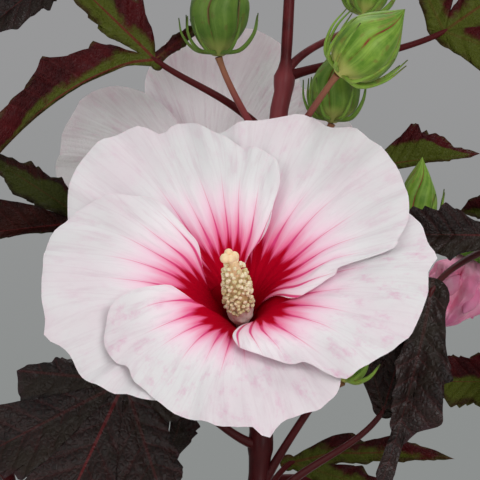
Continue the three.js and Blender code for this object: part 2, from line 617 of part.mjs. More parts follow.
const plant = new THREE.Group();
plant.add(node("pot", potShell(), look.pot));
plant.add(node("soil", soilBall(), look.soil));
plant.add(...blooms.map(openBloom), spentFlower());
plant.add(...buds.map(budNode));
plant.add(...leaves.map(leafNode));
for (const [name, { wood, stalks }] of Object.entries(stems)) {
  plant.add(node("stem_" + name, joined([wood, ...stalks]), look.stem));
}

export default plant;
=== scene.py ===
import bmesh
import bpy
import numpy as np
from mathutils import Matrix, Vector


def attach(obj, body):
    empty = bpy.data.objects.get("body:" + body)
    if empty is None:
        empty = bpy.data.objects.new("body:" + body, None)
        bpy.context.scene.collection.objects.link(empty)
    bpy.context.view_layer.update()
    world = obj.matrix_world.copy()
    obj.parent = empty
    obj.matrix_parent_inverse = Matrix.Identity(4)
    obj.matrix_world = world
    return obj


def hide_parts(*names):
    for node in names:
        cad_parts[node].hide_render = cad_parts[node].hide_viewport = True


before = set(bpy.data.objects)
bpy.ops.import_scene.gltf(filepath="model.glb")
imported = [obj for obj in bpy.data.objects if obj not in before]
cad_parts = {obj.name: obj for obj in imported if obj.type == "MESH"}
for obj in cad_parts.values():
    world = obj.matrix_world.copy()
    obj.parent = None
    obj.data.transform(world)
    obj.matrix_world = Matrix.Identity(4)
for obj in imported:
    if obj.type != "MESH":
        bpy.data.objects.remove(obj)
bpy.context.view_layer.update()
scene = bpy.context.scene
mm = 0.001


# Camera, light and floor

camera = {
    "lens": 163.4,             # long lens, level with the open bloom
    "place": (0.0, -1.08, 0.52),
}
lights = {
    "key": {"place": (0.8, -1.9, 1.2), "aim": (0.0, -0.03, 0.48), "size": 1.3, "watts": 20},
    "fill": {"place": (-1.4, -1.6, 0.9), "aim": (0.0, 0.0, 0.45), "size": 1.6, "watts": 9},
    "top": {"place": (0.2, 0.5, 1.9), "aim": (0.0, 0.0, 0.45), "size": 1.3, "watts": 12},
}
backdrop = {"low": "#8b8e8d", "high": "#979798", "spread": 0.11, "strength": 1.0}
floorDisc = {"radius": 2.6, "sides": 96, "below": 0.4, "colour": "#d8d6d1", "speckle": "#e0deda"}


def colour(hexText):
    # sRGB hex text to the linear colour that a socket takes
    parts = np.array([int(hexText[k:k + 2], 16) for k in (1, 3, 5)]) / 255
    linear = np.where(parts <= 0.04045, parts / 12.92, ((parts + 0.055) / 1.055) ** 2.4)
    return (*linear, 1.0)


def aimAt(place, target):
    turn = (Vector(target) - Vector(place)).to_track_quat("-Z", "Y")
    return Matrix.Translation(place) @ turn.to_matrix().to_4x4()


def linked(made):
    scene.collection.objects.link(made)
    return made


def addCamera():
    data = bpy.data.cameras.new("photoView")
    data.lens = camera["lens"]
    made = linked(bpy.data.objects.new("photoView", data))
    made.matrix_world = aimAt(camera["place"], (0.0, 0.0, camera["place"][2]))
    scene.camera = made


def addLights():
    for name, light in lights.items():
        data = bpy.data.lights.new(name, "AREA")
        data.shape = "DISK"
        data.size = light["size"]
        data.energy = light["watts"]
        made = linked(bpy.data.objects.new(name, data))
        made.matrix_world = aimAt(light["place"], light["aim"])


# Short ways to add and join shader nodes

class Value:
    # a node's output that adds, subtracts and multiplies like a number
    def __init__(self, shades, socket):
        self.shades, self.socket = shades, socket

    def __add__(self, other):
        return self.shades.math("ADD", self, other)

    def __sub__(self, other):
        return self.shades.math("SUBTRACT", self, other)

    def __rsub__(self, other):
        return self.shades.math("SUBTRACT", other, self)

    def __mul__(self, other):
        return self.shades.math("MULTIPLY", self, other)

    def __abs__(self):
        return self.shades.math("ABSOLUTE", self)


class Shades:
    def __init__(self, tree):
        self.tree = tree

    def feed(self, socket, value):
        value = value.socket if isinstance(value, Value) else value
        if isinstance(value, bpy.types.NodeSocket):
            self.tree.links.new(value, socket)
        elif isinstance(value, str) and value.startswith("#"):
            socket.default_value = colour(value)
        else:
            socket.default_value = value

    def add(self, kind, inputs=None, **settings):
        node = self.tree.nodes.new(kind)
        for key, value in settings.items():
            setattr(node, key, value)
        for key, value in (inputs or {}).items():
            self.feed(node.inputs[key], value)
        return node

    def value(self, kind, inputs=None, output=0, **settings):
        return Value(self, self.add(kind, inputs, **settings).outputs[output])

    def math(self, operation, *values):
        return self.value("ShaderNodeMath", dict(enumerate(values)), operation=operation)

    def smooth(self, value, low, high, start=0.0, end=1.0):
        sizes = {"Value": value, "From Min": low, "From Max": high, "To Min": start, "To Max": end}
        return self.value("ShaderNodeMapRange", sizes, interpolation_type="SMOOTHSTEP")

    def mix(self, share, first, second):
        return self.value("ShaderNodeMix", {0: share, 6: first, 7: second}, 2, data_type="RGBA")

    def layers(self, base, coats):
        # each coat is how much of it shows, and its colour
        for share, tone in coats:
            base = self.mix(share, base, tone)
        return base

    def noise(self, vector, scale, detail=3.0, roughness=0.5):
        sizes = {"Vector": vector, "Scale": scale, "Detail": detail, "Roughness": roughness}
        return self.value("ShaderNodeTexNoise", sizes)

    def vector(self, x, y, z=0.0):
        return self.value("ShaderNodeCombineXYZ", {"X": x, "Y": y, "Z": z})

    def place(self):
        return self.value("ShaderNodeTexCoord", output="Object")

    def height(self):
        return self.value("ShaderNodeSeparateXYZ", {"Vector": self.place()}, "Z")

    def lie(self):
        # the piece's own map: across or around first, then along
        node = self.add("ShaderNodeUVMap", uv_map="lie")
        split = self.add("ShaderNodeSeparateXYZ", {"Vector": node.outputs[0]})
        return Value(self, split.outputs["X"]), Value(self, split.outputs["Y"])

    def mark(self, name):
        return self.value("ShaderNodeAttribute", output="Fac", attribute_name=name)

    def group(self, tree, inputs):
        node = self.add("ShaderNodeGroup", inputs, node_tree=tree)
        return {output.name: Value(self, output) for output in node.outputs}

    def veins(self, across, width, fork):
        return self.group(veinLines, {"Across": across, "Width": width, "Fork": fork})

    def clouds(self, light, dark, scale):
        return self.group(mottle, {"Light": light, "Dark": dark, "Scale": scale})

    def dressed(self, tone, relief, finish=None):
        # relief is a height, the bump's strength and its depth in millimetres
        height, strength, depth = relief
        sizes = {"Height": height, "Strength": strength, "Distance": depth * mm}
        bump = self.value("ShaderNodeBump", sizes)
        for key, value in {"Base Color": tone, "Normal": bump, **(finish or {})}.items():
            self.feed(self.shader.inputs[key], value)
        return self.material


def newGroup(name, inputs, outputs, kind="ShaderNodeTree"):
    tree = bpy.data.node_groups.new(name, kind)
    for side, sockets in (("INPUT", inputs), ("OUTPUT", outputs)):
        for label, holds in sockets.items():
            tree.interface.new_socket(label, in_out=side, socket_type="NodeSocket" + holds)
    shades = Shades(tree)
    sources = shades.add("NodeGroupInput").outputs
    given = {source.name: Value(shades, source) for source in sources if source.name}
    return shades, given, shades.add("NodeGroupOutput").inputs


def emptyShades(owner):
    owner.use_nodes = True
    owner.node_tree.nodes.clear()
    return Shades(owner.node_tree)


def newMaterial(name, finish):
    material = bpy.data.materials.new(name)
    shades = emptyShades(material)
    shades.material = material
    shades.shader = shades.add("ShaderNodeBsdfPrincipled", finish)
    shades.add("ShaderNodeOutputMaterial", {"Surface": shades.shader.outputs[0]})
    return shades


def finishBackdrop():
    world = bpy.data.worlds.new("softStudio")
    shades = emptyShades(world)
    spread = backdrop["spread"]
    direction = shades.value("ShaderNodeTexCoord", output="Generated")
    height = shades.value("ShaderNodeSeparateXYZ", {"Vector": direction}, "Z")
    tone = shades.mix(shades.smooth(height, -spread, spread), backdrop["low"], backdrop["high"])
    grey = shades.add("ShaderNodeBackground", {"Color": tone, "Strength": backdrop["strength"]})
    shades.add("ShaderNodeOutputWorld", {"Surface": grey.outputs[0]})
    scene.world = world
    scene.view_settings.view_transform = "Standard"


def addFloor():
    shades = newMaterial("paleFloor", {"Roughness": 0.8})
    speckle = shades.smooth(shades.noise(shades.place(), 40.0), 0.3, 0.7)
    tone = shades.mix(speckle, floorDisc["colour"], floorDisc["speckle"])
    shades.feed(shades.shader.inputs["Base Color"], tone)
    mesh = bpy.data.meshes.new("floor")
    disc = bmesh.new()
    bmesh.ops.create_circle(disc, cap_ends=True, radius=floorDisc["radius"], segments=floorDisc["sides"])
    disc.to_mesh(mesh)
    disc.free()
    mesh.materials.append(shades.material)
    made = linked(bpy.data.objects.new("floor", mesh))
    made.location.z = -floorDisc["below"] * mm


addCamera()
addLights()
finishBackdrop()
addFloor()
print("camera, lights and floor are in place")


# Effects that several materials share

def veinLinesGroup():
    # lines at whole numbers of Across, which split in two further along
    shades, given, out = newGroup("veinLines", {"Across": "Float", "Width": "Float", "Fork": "Float"},
                                  {"Main": "Float", "Forks": "Float", "Between": "Float"})
    away = shades.math("PINGPONG", given["Across"], 0.5)
    thin = given["Width"] * 0.35
    shades.feed(out["Main"], shades.smooth(away, thin, given["Width"], 1.0, 0.0))
    shades.feed(out["Forks"], shades.smooth(abs(away - given["Fork"]), thin, given["Width"], 1.0, 0.0))
    shades.feed(out["Between"], away)
    return shades.tree


def mottleGroup():
    # soft uneven colour, by place on the plant
    shades, given, out = newGroup("mottle", {"Light": "Color", "Dark": "Color", "Scale": "Float"},
                                  {"Color": "Color", "Amount": "Float"})
    cloud = shades.smooth(shades.noise(shades.place(), given["Scale"], 4.0, 0.6), 0.32, 0.68)
    shades.feed(out["Color"], shades.mix(cloud, given["Dark"], given["Light"]))
    shades.feed(out["Amount"], cloud)
    return shades.tree


veinLines = veinLinesGroup()
mottle = mottleGroup()


# Materials

petalLook = {
    "veins": 5.5,              # main veins on half a petal
    "crimped": 0.35,           # depth of the fine pleats
    "throat": (0.345, 0.41),   # where along a vein the crimson ends
    "feather": 0.13,           # how much sooner it ends between the veins
    "margin": 0.16,            # and towards the petal's own sides
    # among these, the brighter inner white is painted light
    "white": "#e6e4e5", "pinkish": "#e8dde2", "bright": "#faf2f6", "net": "#cfb4c0", "fleck": "#dd8fb8",
    # the darkest crimson here is painted shade, for the bottom of the throat
    "flush": "#ffbcda", "hot": "#f4568f", "vein": "#e63f83", "crimson": "#b90022", "deep": "#9c0018",
    "rim": "#f3dbe4",
}


def petalMaterial(name, look):
    shades = newMaterial(name, {"Roughness": 0.6, "Sheen Roughness": 0.4})
    across, along = shades.lie()
    front = 1.0 - shades.mark("under")
    veined = across * look["veins"]
    lane = shades.math("FLOOR", veined + 0.5)
    chance = shades.value("ShaderNodeTexWhiteNoise", {"W": lane}, "Value", noise_dimensions="1D")
    width = shades.smooth(along, 0.3, 0.52, 0.24, 0.035)
    lines = shades.veins(veined, width, shades.smooth(along, 0.36, 0.95, 0.0, 0.3))
    streaks = shades.noise(shades.vector(across * 22.0, along * 4.5), 1.0, 4.0, 0.6)

    # distance along a vein, which the crimson, the hot pink and the flush each reach to
    reach = along + lines["Between"] * look["feather"]
    reach = reach + shades.math("POWER", abs(across), 4.0) * look["margin"]
    reach = reach + (streaks - 0.5) * 0.12 + (chance - 0.5) * 0.07
    far = along + chance * 0.14
    low, high = look["throat"]
    bloody = shades.smooth(reach, low, high, 1.0, 0.0)

    cloud = shades.smooth(shades.noise(shades.place(), 30.0), 0.35, 0.7)
    spots = shades.noise(shades.vector(across * 9.0, along * 6.0), 1.3, 5.0, 0.7)
    blood = shades.mix(shades.smooth(far, 0.34, 0.48), look["crimson"], look["vein"])
    # painted shade: the crimson is darker at the bottom of the throat, where shade falls in the funnel
    core = shades.mix(shades.smooth(along, 0.08, 0.26), look["deep"], look["crimson"])
    base = shades.layers(look["white"], [
        (cloud, look["pinkish"]),
        # painted light: each petal is painted brighter towards the throat, where it faces the lamps
        (shades.smooth(along, 0.5, 0.8, 1.0, 0.0), look["bright"]),
        (shades.math("MAXIMUM", lines["Main"], lines["Forks"]) * 0.1, look["net"]),
        (shades.smooth(streaks, 0.45, 0.75, 0.0, 0.3), look["net"]),
        (shades.smooth(spots, 0.48, 0.84) * shades.mark("fleck"), look["fleck"]),
        (shades.smooth(shades.mark("edge"), 0.0, 1.8, 0.6, 0.0), look["rim"]),
        (shades.smooth(reach, 0.42, 0.74, 0.85, 0.0) * front, look["flush"]),
        (shades.smooth(reach, 0.36, 0.56, 1.0, 0.0) * front, look["hot"]),
        (lines["Main"] * shades.smooth(far, 0.46, 0.76, 0.95, 0.0) * front, blood),
        (lines["Forks"] * shades.smooth(far, 0.4, 0.66, 0.5, 0.0) * front, look["vein"]),
        (bloody, core),
    ])
    fine = shades.math("PINGPONG", veined * 4.0, 0.5)
    crimp = fine * 0.6 + streaks * 1.2 + shades.noise(shades.place(), 900.0, 2.0) * 0.5
    return shades.dressed(base, (crimp, 0.3, look["crimped"]), {
        "Specular IOR Level": shades.smooth(bloody, 0.0, 1.0, 0.2, 0.03),
        "Sheen Weight": shades.smooth(bloody, 0.0, 1.0, 0.08, 0.0),
    })


leafVeins = 9.5                # side veins that leave the midrib along a blade
veinSlope = 0.85               # how far along they run for each step to the side
leafLooks = {
    "dark": {
        "flesh": "#261916", "shade": "#120a09", "heart": "#241b12", "vein": "#2c1412", "midrib": "#5a1719",
        "rim": "#120a08", "heartReach": (0.0, 0.3), "rimReach": 1.5, "under": "#412830", "gloss": 0.26},
    # a darker copy of the young colours, as painted shade for a young leaf that sits in shade
    "olive": {
        "flesh": "#2b110c", "shade": "#180907", "heart": "#2f3310", "vein": "#474820", "midrib": "#4d1516",
        "rim": "#180907", "heartReach": (0.2, 0.44), "rimReach": 3.0, "under": "#39401f", "gloss": 0.08},
    "young": {
        "flesh": "#451114", "shade": "#290b0d", "heart": "#484f18", "vein": "#62602a", "midrib": "#621f1e",
        "rim": "#2a0c0d", "heartReach": (0.22, 0.5), "rimReach": 3.0, "under": "#4d5229", "gloss": 0.08},
}


def leafMaterial(name, look):
    shades = newMaterial(name, {"Specular IOR Level": look["gloss"]})
    along, side = shades.lie()
    off = abs(side)
    fork = shades.smooth(off, 0.02, 0.2, 0.0, 0.24)
    lines = shades.veins((along - off * veinSlope) * leafVeins, 0.085, fork)
    clouds = shades.clouds(look["flesh"], look["shade"], 60.0)
    cells = shades.value("ShaderNodeTexVoronoi", {"Vector": shades.vector(along, side), "Scale": 42.0},
                         "Distance", feature="DISTANCE_TO_EDGE")

    # green near the base and midribs, and browner where the browning mark is high
    wander = (clouds["Amount"] - 0.5) * 0.35
    browned = off * 2.2 + shades.mark("sun") * 4.0 + along * 0.45
    low, high = look["heartReach"]
    heart = shades.smooth(browned + wander, low, high, 1.0, 0.0)
    veinTone = shades.mix(heart, look["midrib"], look["vein"])
    fine = shades.math("MAXIMUM", lines["Main"], lines["Forks"] * 0.5)
    width = shades.smooth(along, 0.0, 1.0, 0.012, 0.003)
    midrib = shades.smooth(off, width * 0.5, width, 1.0, 0.0)
    stalk = shades.smooth(along, -0.9, -0.5, 1.0, 0.0)
    base = shades.layers(clouds["Color"], [
        (heart, look["heart"]),
        (shades.smooth(shades.mark("edge") + wander * 6.0, 0.0, look["rimReach"], 0.9, 0.0), look["rim"]),
        (shades.smooth(cells, 0.0, 0.16, 1.0, 0.0) * 0.08, veinTone),
        (fine * 0.15, veinTone),
        (midrib * shades.mark("lead"), look["midrib"]),
        (shades.mark("under") * 0.4, look["under"]),
        (stalk, "#4a1517"),
    ])
    pucker = shades.smooth(lines["Between"], 0.0, 0.35) * 0.8 + shades.smooth(cells, 0.0, 0.3) * 0.35
    for scale, depth in ((700.0, 0.12), (80.0, 4.2)):
        pucker = pucker + shades.noise(shades.place(), scale) * depth
    return shades.dressed(base, (pucker * (1.0 - stalk), 0.8, 0.8),
                          {"Roughness": shades.smooth(clouds["Amount"], 0.0, 1.0, 0.5, 0.38)})


def stemMaterial():
    shades = newMaterial("maroonStem", {"Specular IOR Level": 0.14})
    height = shades.height()
    clouds = shades.clouds("#6a2226", "#421216", 45.0)
    stretch = shades.value("ShaderNodeMapping", {"Vector": shades.place(), "Scale": (1.0, 1.0, 0.12)})
    fibre = shades.noise(stretch, 900.0, 3.0)
    pores = shades.value("ShaderNodeTexVoronoi", {"Vector": stretch, "Scale": 420.0}, "Distance")
    lit = shades.smooth(height, 0.54, 0.58) * shades.smooth(height, 0.6, 0.612, 1.0, 0.0)
    base = shades.layers(clouds["Color"], [
        (shades.smooth(fibre, 0.4, 0.7, 0.0, 0.25), "#74302f"),
        (shades.smooth(pores, 0.0, 0.12, 0.25, 0.0), "#8a554c"),
        # painted shade: the stem is painted darker below about half a metre up, where leaves shade it
        (shades.smooth(height, 0.38, 0.5, 0.7, 0.0), "#240b0c"),
        (lit * 0.55, "#95474c"),
        (shades.mark("edge") * 0.8, "#a07c55"),
        (shades.smooth(height, 0.17, 0.3, 0.7, 0.0), "#5a4238"),
    ])
    return shades.dressed(base, (fibre, 0.3, 0.25), {"Roughness": shades.smooth(fibre, 0.3, 0.7, 0.3, 0.48)})


def budMaterial():
    shades = newMaterial("budGreen", {"Specular IOR Level": 0.3, "Sheen Weight": 0.06})
    across, along = shades.lie()
    clouds = shades.clouds("#80a336", "#56801d", 90.0)
    lines = shades.veins(across * 1.5, 0.3, 0.4)
    fibre = shades.noise(shades.vector(across * 9.0, along * 2.0), 1.0, 4.0, 0.6)
    ragged = shades.noise(shades.place(), 160.0, 3.0)
    seam = shades.smooth(abs(across), 0.9, 0.985) * shades.smooth(along, 0.1, 0.35)
    base = shades.layers(clouds["Color"], [
        (lines["Main"] * 0.3, "#9dbb55"),
        (shades.smooth(fibre, 0.45, 0.7, 0.0, 0.5), "#4a7216"),
        (seam * shades.smooth(ragged, 0.3, 0.55), "#8a3a2c"),
        (lines["Main"] * shades.smooth(ragged, 0.55, 0.66) * 0.4, "#7d4028"),
        (shades.smooth(along, 0.08, 0.25, 0.9, 0.0), "#c6c86c"),
        (shades.mark("edge"), "#3d2c1c"),
        # painted shade: a darker green over the buds that sit in shade
        (shades.mark("sun"), "#2c470f"),
    ])
    return shades.dressed(base, (fibre + shades.noise(shades.place(), 800.0) * 0.3, 0.4, 0.5),
                          {"Roughness": shades.smooth(clouds["Amount"], 0.0, 1.0, 0.58, 0.44)})


def spentMaterial():
    shades = newMaterial("spentPink", {"Roughness": 0.6, "Specular IOR Level": 0.2})
    across, along = shades.lie()
    lines = shades.veins(across * 6.0, 0.22, 0.3)
    # the spent bloom's own pink, painted lighter as well, as painted light against the shade of the leaf above
    # it
    base = shades.layers(shades.clouds("#ffc0d6", "#fb8db8", 110.0)["Color"], [
        (lines["Main"] * 0.3, "#d0659a"),
        (shades.smooth(along, 0.7, 1.0, 0.0, 0.6), "#cf5f9c"),
        (shades.smooth(along, 0.1, 0.3, 0.6, 0.0), "#e8cdd2"),
    ])
    return shades.dressed(base, (lines["Main"] + shades.noise(shades.place(), 260.0, 4.0), 0.5, 0.6))


def columnMaterial():
    shades = newMaterial("columnFlesh", {"Roughness": 0.5, "Sheen Weight": 0.1})
    along = shades.lie()[1]
    clouds = shades.noise(shades.place(), 400.0, 3.0)
    base = shades.layers("#a50f28", [
        # the column's own pale pink base, painted lighter as well, as painted light against the shade deep in
        # the throat
        (shades.smooth(along, 0.12, 0.22), "#fbe4da"),
        (shades.smooth(along, 0.44, 0.52), "#dccb92"),
        (shades.smooth(along, 0.8, 0.84), "#fbdcae"),
        (shades.smooth(clouds, 0.5, 0.64) * shades.smooth(along, 0.3, 0.5, 0.5, 0.0), "#c63a56"),
    ])
    return shades.dressed(base, (clouds, 0.3, 0.3))


def pollenMaterial():
    shades = newMaterial("pollen", {"Roughness": 0.85})
    grain = shades.noise(shades.place(), 1500.0, 2.0)
    base = shades.layers("#dccf98", [
        (shades.mark("shade"), "#fff6d6"),
        (shades.smooth(grain, 0.5, 0.75, 0.0, 0.4), "#b5ad66"),
    ])
    return shades.dressed(base, (grain, 0.6, 0.3))


def barkMaterial():
    shades = newMaterial("barkMix", {"Specular IOR Level": 0.3})
    clouds = shades.clouds("#4a3527", "#21170f", 240.0)
    grain = shades.noise(shades.place(), 700.0, 5.0, 0.65)
    base = shades.layers(clouds["Color"], [
        (shades.mark("shade"), "#6a4a33"),
        (shades.smooth(grain, 0.35, 0.6, 0.6, 0.0), "#150f0a"),
    ])
    return shades.dressed(base, (grain, 0.8, 0.9),
                          {"Roughness": shades.smooth(clouds["Amount"], 0.0, 1.0, 0.75, 0.95)})


def perliteMaterial():
    shades = newMaterial("perlite", {"Roughness": 0.9})
    grain = shades.noise(shades.place(), 900.0, 4.0)
    return shades.dressed(shades.mix(shades.smooth(grain, 0.3, 0.7), "#b9b2a6", "#e4dfd6"), (grain, 0.7, 0.5))


def potMaterial():
    shades = newMaterial("mouldedPot", {"Specular IOR Level": 0.4})
    place, height = shades.place(), shades.height()
    settled = shades.smooth(height, 0.0, 0.06, 0.5, 0.12)
    dust = shades.smooth(shades.noise(place, 26.0, 5.0, 0.7), 0.5, 0.75) * settled
    wear = shades.smooth(height, 0.184, 0.19) * shades.smooth(shades.noise(place, 70.0, 4.0), 0.45, 0.6)
    base = shades.layers(shades.clouds("#95634c", "#82533f", 9.0)["Color"], [
        (dust, "#b59c86"),
        (wear * 0.5, "#b78a70"),
    ])
    return shades.dressed(base, (shades.noise(place, 1400.0, 2.0), 0.12, 0.2),
                          {"Roughness": shades.smooth(shades.noise(place, 50.0, 4.0), 0.3, 0.7, 0.4, 0.58)})


materials = {
    "petal": petalMaterial("whitePetal", petalLook),
    # the rear bloom's petals are pleated more deeply, and their lighter white is painted light, to make up for
    # the shade they sit in
    "rearPetal": petalMaterial("pleatedLightenedPetal", {**petalLook, "crimped": 1.4, "white": "#eceaeb"}),
    **{look: leafMaterial(look + "Leaf", leafLooks[look]) for look in leafLooks},
    "stem": stemMaterial(),
    "bud": budMaterial(),
    "spent": spentMaterial(),
    "column": columnMaterial(),
    "pollen": pollenMaterial(),
    "bark": barkMaterial(),
    "perlite": perliteMaterial(),
    "pot": potMaterial(),
}
print("materials:", len(materials))


# Curves and grids of points, in millimetres

fullTurn = 2 * np.pi


def smoothStep(x, low, high):
    t = np.clip((x - low) / (high - low), 0, 1)
    return t * t * (3 - 2 * t)


def unit(vector):
    vector = np.asarray(vector, float)
    return vector / np.linalg.norm(vector)


def squareTo(axis, vector):
    # what is left of a vector at right angles to a unit axis
    return unit(np.asarray(vector, float) - np.dot(vector, axis) * axis)


def aroundZ(r, angle, z):
    return np.stack(np.broadcast_arrays(r * np.cos(angle), r * np.sin(angle), z), -1)


def gridOf(u, v):
    # two maps, each along one side of a grid, as pairs over the whole grid
    return np.stack(np.broadcast_arrays(u, v), -1)


def evenly(line, count, corners=False):
    # the same line with evenly spaced points, and its own corners kept where asked
    steps = np.concatenate([[0], np.cumsum(np.linalg.norm(np.diff(line, axis=0), axis=1))])
    share = np.linspace(0, steps[-1], count)
    if corners:
        share = np.unique(np.concatenate([share, steps]))
    return np.stack([np.interp(share, steps, column) for column in np.transpose(line)], -1)


def throughPoints(points, count=400):
    # an even curve through given points
    points = np.array(points, float)
    ends = [2 * points[0] - points[1], *points, 2 * points[-1] - points[-2]]
    line = []
    for k in range(len(points) - 1):
        before, start, stop, after = ends[k:k + 4]
        t = np.linspace(0, 1, 60, endpoint=k == len(points) - 2)[:, None]
        bend = 2 * start + (stop - before) * t + (2 * before - 5 * start + 4 * stop - after) * t ** 2
        line.append(0.5 * (bend + (3 * start - before - 3 * stop + after) * t ** 3))
    return evenly(np.concatenate(line), count)


def knotCurve(x, knots):
    # a smooth curve of values through knots of place and value, level beyond its ends
    places, values = np.array(knots, float).T
    slopes = np.gradient(values, places)
    x = np.clip(x, places[0], places[-1])
    k = np.clip(np.searchsorted(places, x) - 1, 0, len(places) - 2)
    span = places[k + 1] - places[k]
    t = (x - places[k]) / span
    rise = values[k] * (1 + 2 * t) * (1 - t) ** 2 + values[k + 1] * t ** 2 * (3 - 2 * t)
    return rise + span * (slopes[k] * t * (1 - t) ** 2 - slopes[k + 1] * t ** 2 * (1 - t))


def stalkLine(start, stop, arriving, bow, count=28):
    # leaves its stem upwards and arrives along a direction
    start, stop = np.array(start, float), np.array(stop, float)
    reach = np.linalg.norm(stop - start)
    first = start + 0.3 * (stop - start) + (0, 0, bow * reach)
    second = stop - 0.32 * reach * unit(arriving)
    t = np.linspace(0, 1, 200)[:, None]
    line = (1 - t) ** 3 * start + 3 * (1 - t) ** 2 * t * first + 3 * (1 - t) * t ** 2 * second + t ** 3 * stop
    return evenly(line, count)


def tube(line, radii, sides=24, across=(0, 0), along=(0, 1), marks=None):
    # rings round a line, drawn in to a point at both ends
    line = np.asarray(line, float)
    radii = np.broadcast_to(radii, len(line))
    steps = np.gradient(line, axis=0)
    steps /= np.linalg.norm(steps, axis=1)[:, None]
    side = np.cross(steps[0], (0.3, 0.9, 0.2))
    turn = np.linspace(0, fullTurn, sides + 1)
    rings = []
    for point, step, radius in zip(line, steps, radii):
        side = squareTo(step, side)
        other = np.cross(step, side)
        rings.append(point + radius * (np.cos(turn)[:, None] * side + np.sin(turn)[:, None] * other))
    points = np.array([np.tile(line[0], (sides + 1, 1)), *rings, np.tile(line[-1], (sides + 1, 1))])
    uv = gridOf(np.linspace(*across, sides + 1), np.linspace(*along, len(points))[:, None])
    patch = {"points": points, "uv": uv}
    for name, values in (marks or {}).items():
        values = np.broadcast_to(values, len(line))
        patch[name] = np.repeat(np.concatenate([values[:1], values, values[-1:]])[:, None], sides + 1, 1)
    return patch


def distanceTo(rim, points):
    # how far each point is from a rim, measured to every other point of it
    return np.min([np.linalg.norm(points - point, axis=-1) for point in rim[::2]], axis=0)


def gridNormals(points):
    normals = np.cross(np.gradient(points, axis=0), np.gradient(points, axis=1))
    length = np.linalg.norm(normals, axis=-1, keepdims=True)
    middle = unit(normals[np.isfinite(length[..., 0])].sum(axis=0))
    return np.where(length > 1e-9, normals / np.maximum(length, 1e-9), middle)


def sheet(points, uv, thick, rise=0, sink=0, marks=None):
    # two faces round a middle surface; thick is 0 wherever they meet
    normals = gridNormals(points)
    patches = []
    for side, push in ((1, rise), (-1, sink)):
        away = side * (thick / 2 + push * (thick > 0))
        patches.append({"points": points + normals * away[..., None], "uv": uv,
                        "under": np.full(thick.shape, float(side < 0)), **(marks or {})})
    return patches


def frameOf(origin, ahead, up):
    # x along ahead, z towards up
    x = unit(ahead)
    z = squareTo(x, up)
    return np.array(origin, float), np.array([x, np.cross(z, x), z])


def axisFrame(origin, axis, side=(1, 0, 0)):
    # z along the axis, x towards side
    z = unit(axis)
    x = squareTo(z, side)
    return np.array(origin, float), np.array([x, np.cross(z, x), z])


def placed(patches, place):
    origin, axes = place
    for patch in patches:
        patch["points"] = origin + patch["points"] @ axes
    return patches


def moved(patch, place):
    patch["points"] = patch["points"] + place
    return patch


def turned(profile, sides, scale=None, along=(0, 1)):
    # a profile of radius and height turned round Z; a scale by angle and height can flute it
    profile = np.array(profile, float)
    angle = np.linspace(0, fullTurn, sides + 1)
    r, z = profile[:, :1], profile[:, 1:]
    points = aroundZ(r, angle, z)
    if scale:
        points[..., :2] *= scale(angle[None, :], z)[..., None]
    return {"points": points, "uv": gridOf(angle / fullTurn, np.linspace(*along, len(profile))[:, None])}


# Pieces: one closed mesh each, at the origin, with its place in its points

pieceMarks = ("edge", "under", "fleck", "sun", "lead")


def meshOf(name, patches):
    points, uv, faces, start = [], [], [], 0
    for patch in patches:
        rows, columns = patch["points"].shape[:2]
        index = start + np.arange(rows * columns).reshape(rows, columns)
        around = [index[:-1, :-1], index[:-1, 1:], index[1:, 1:], index[1:, :-1]]
        faces.append(np.stack(around, -1).reshape(-1, 4))
        points.append(patch["points"].reshape(-1, 3) * mm)
        uv.append(patch["uv"].reshape(-1, 2))
        start += rows * columns
    mesh = bpy.data.meshes.new(name)
    mesh.from_pydata(np.concatenate(points).tolist(), [], np.concatenate(faces).tolist())
    corners = np.zeros(len(mesh.loops), int)
    mesh.loops.foreach_get("vertex_index", corners)
    lie = mesh.uv_layers.new(name="lie")
    lie.data.foreach_set("uv", np.concatenate(uv)[corners].astype(np.float32).ravel())
    for mark in pieceMarks:
        if any(mark in patch for patch in patches):
            values = [np.ravel(patch.get(mark, np.zeros(patch["points"].shape[:2]))) for patch in patches]
            layer = mesh.attributes.new(mark, "FLOAT", "POINT")
            layer.data.foreach_set("value", np.concatenate(values).astype(np.float32))
    return mesh


def closeSeams(mesh, sharp):
    work = bmesh.new()
    work.from_mesh(mesh)
    bmesh.ops.remove_doubles(work, verts=work.verts, dist=0.012 * mm)
    bmesh.ops.dissolve_degenerate(work, edges=work.edges, dist=0.004 * mm)
    bmesh.ops.recalc_face_normals(work, faces=work.faces)
    work.to_mesh(mesh)
    work.free()
    mesh.shade_smooth()
    mesh.set_sharp_from_angle(angle=np.radians(sharp))


def solidOf(name, patches, sharp, material=None):
    mesh = meshOf(name, patches)
    closeSeams(mesh, sharp)
    if material:
        mesh.materials.append(materials[material])
    return linked(bpy.data.objects.new(name, mesh))


def bakedMesh(made):
    # what an object looks like through its modifiers, as one plain mesh
    return bpy.data.meshes.new_from_object(made.evaluated_get(bpy.context.evaluated_depsgraph_get()))


def keepPiece(made, nodes=()):
    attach(made, "root")
    if nodes:
        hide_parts(*nodes)


def addPiece(name, patches, material, nodes=(), sharp=48):
    keepPiece(solidOf(name, patches, sharp, material), nodes)


def pieceName(kind, name):
    return kind + "".join(word.capitalize() for word in name.split("_"))


# Stems, with a swelling at each node and the flower stalks that they carry

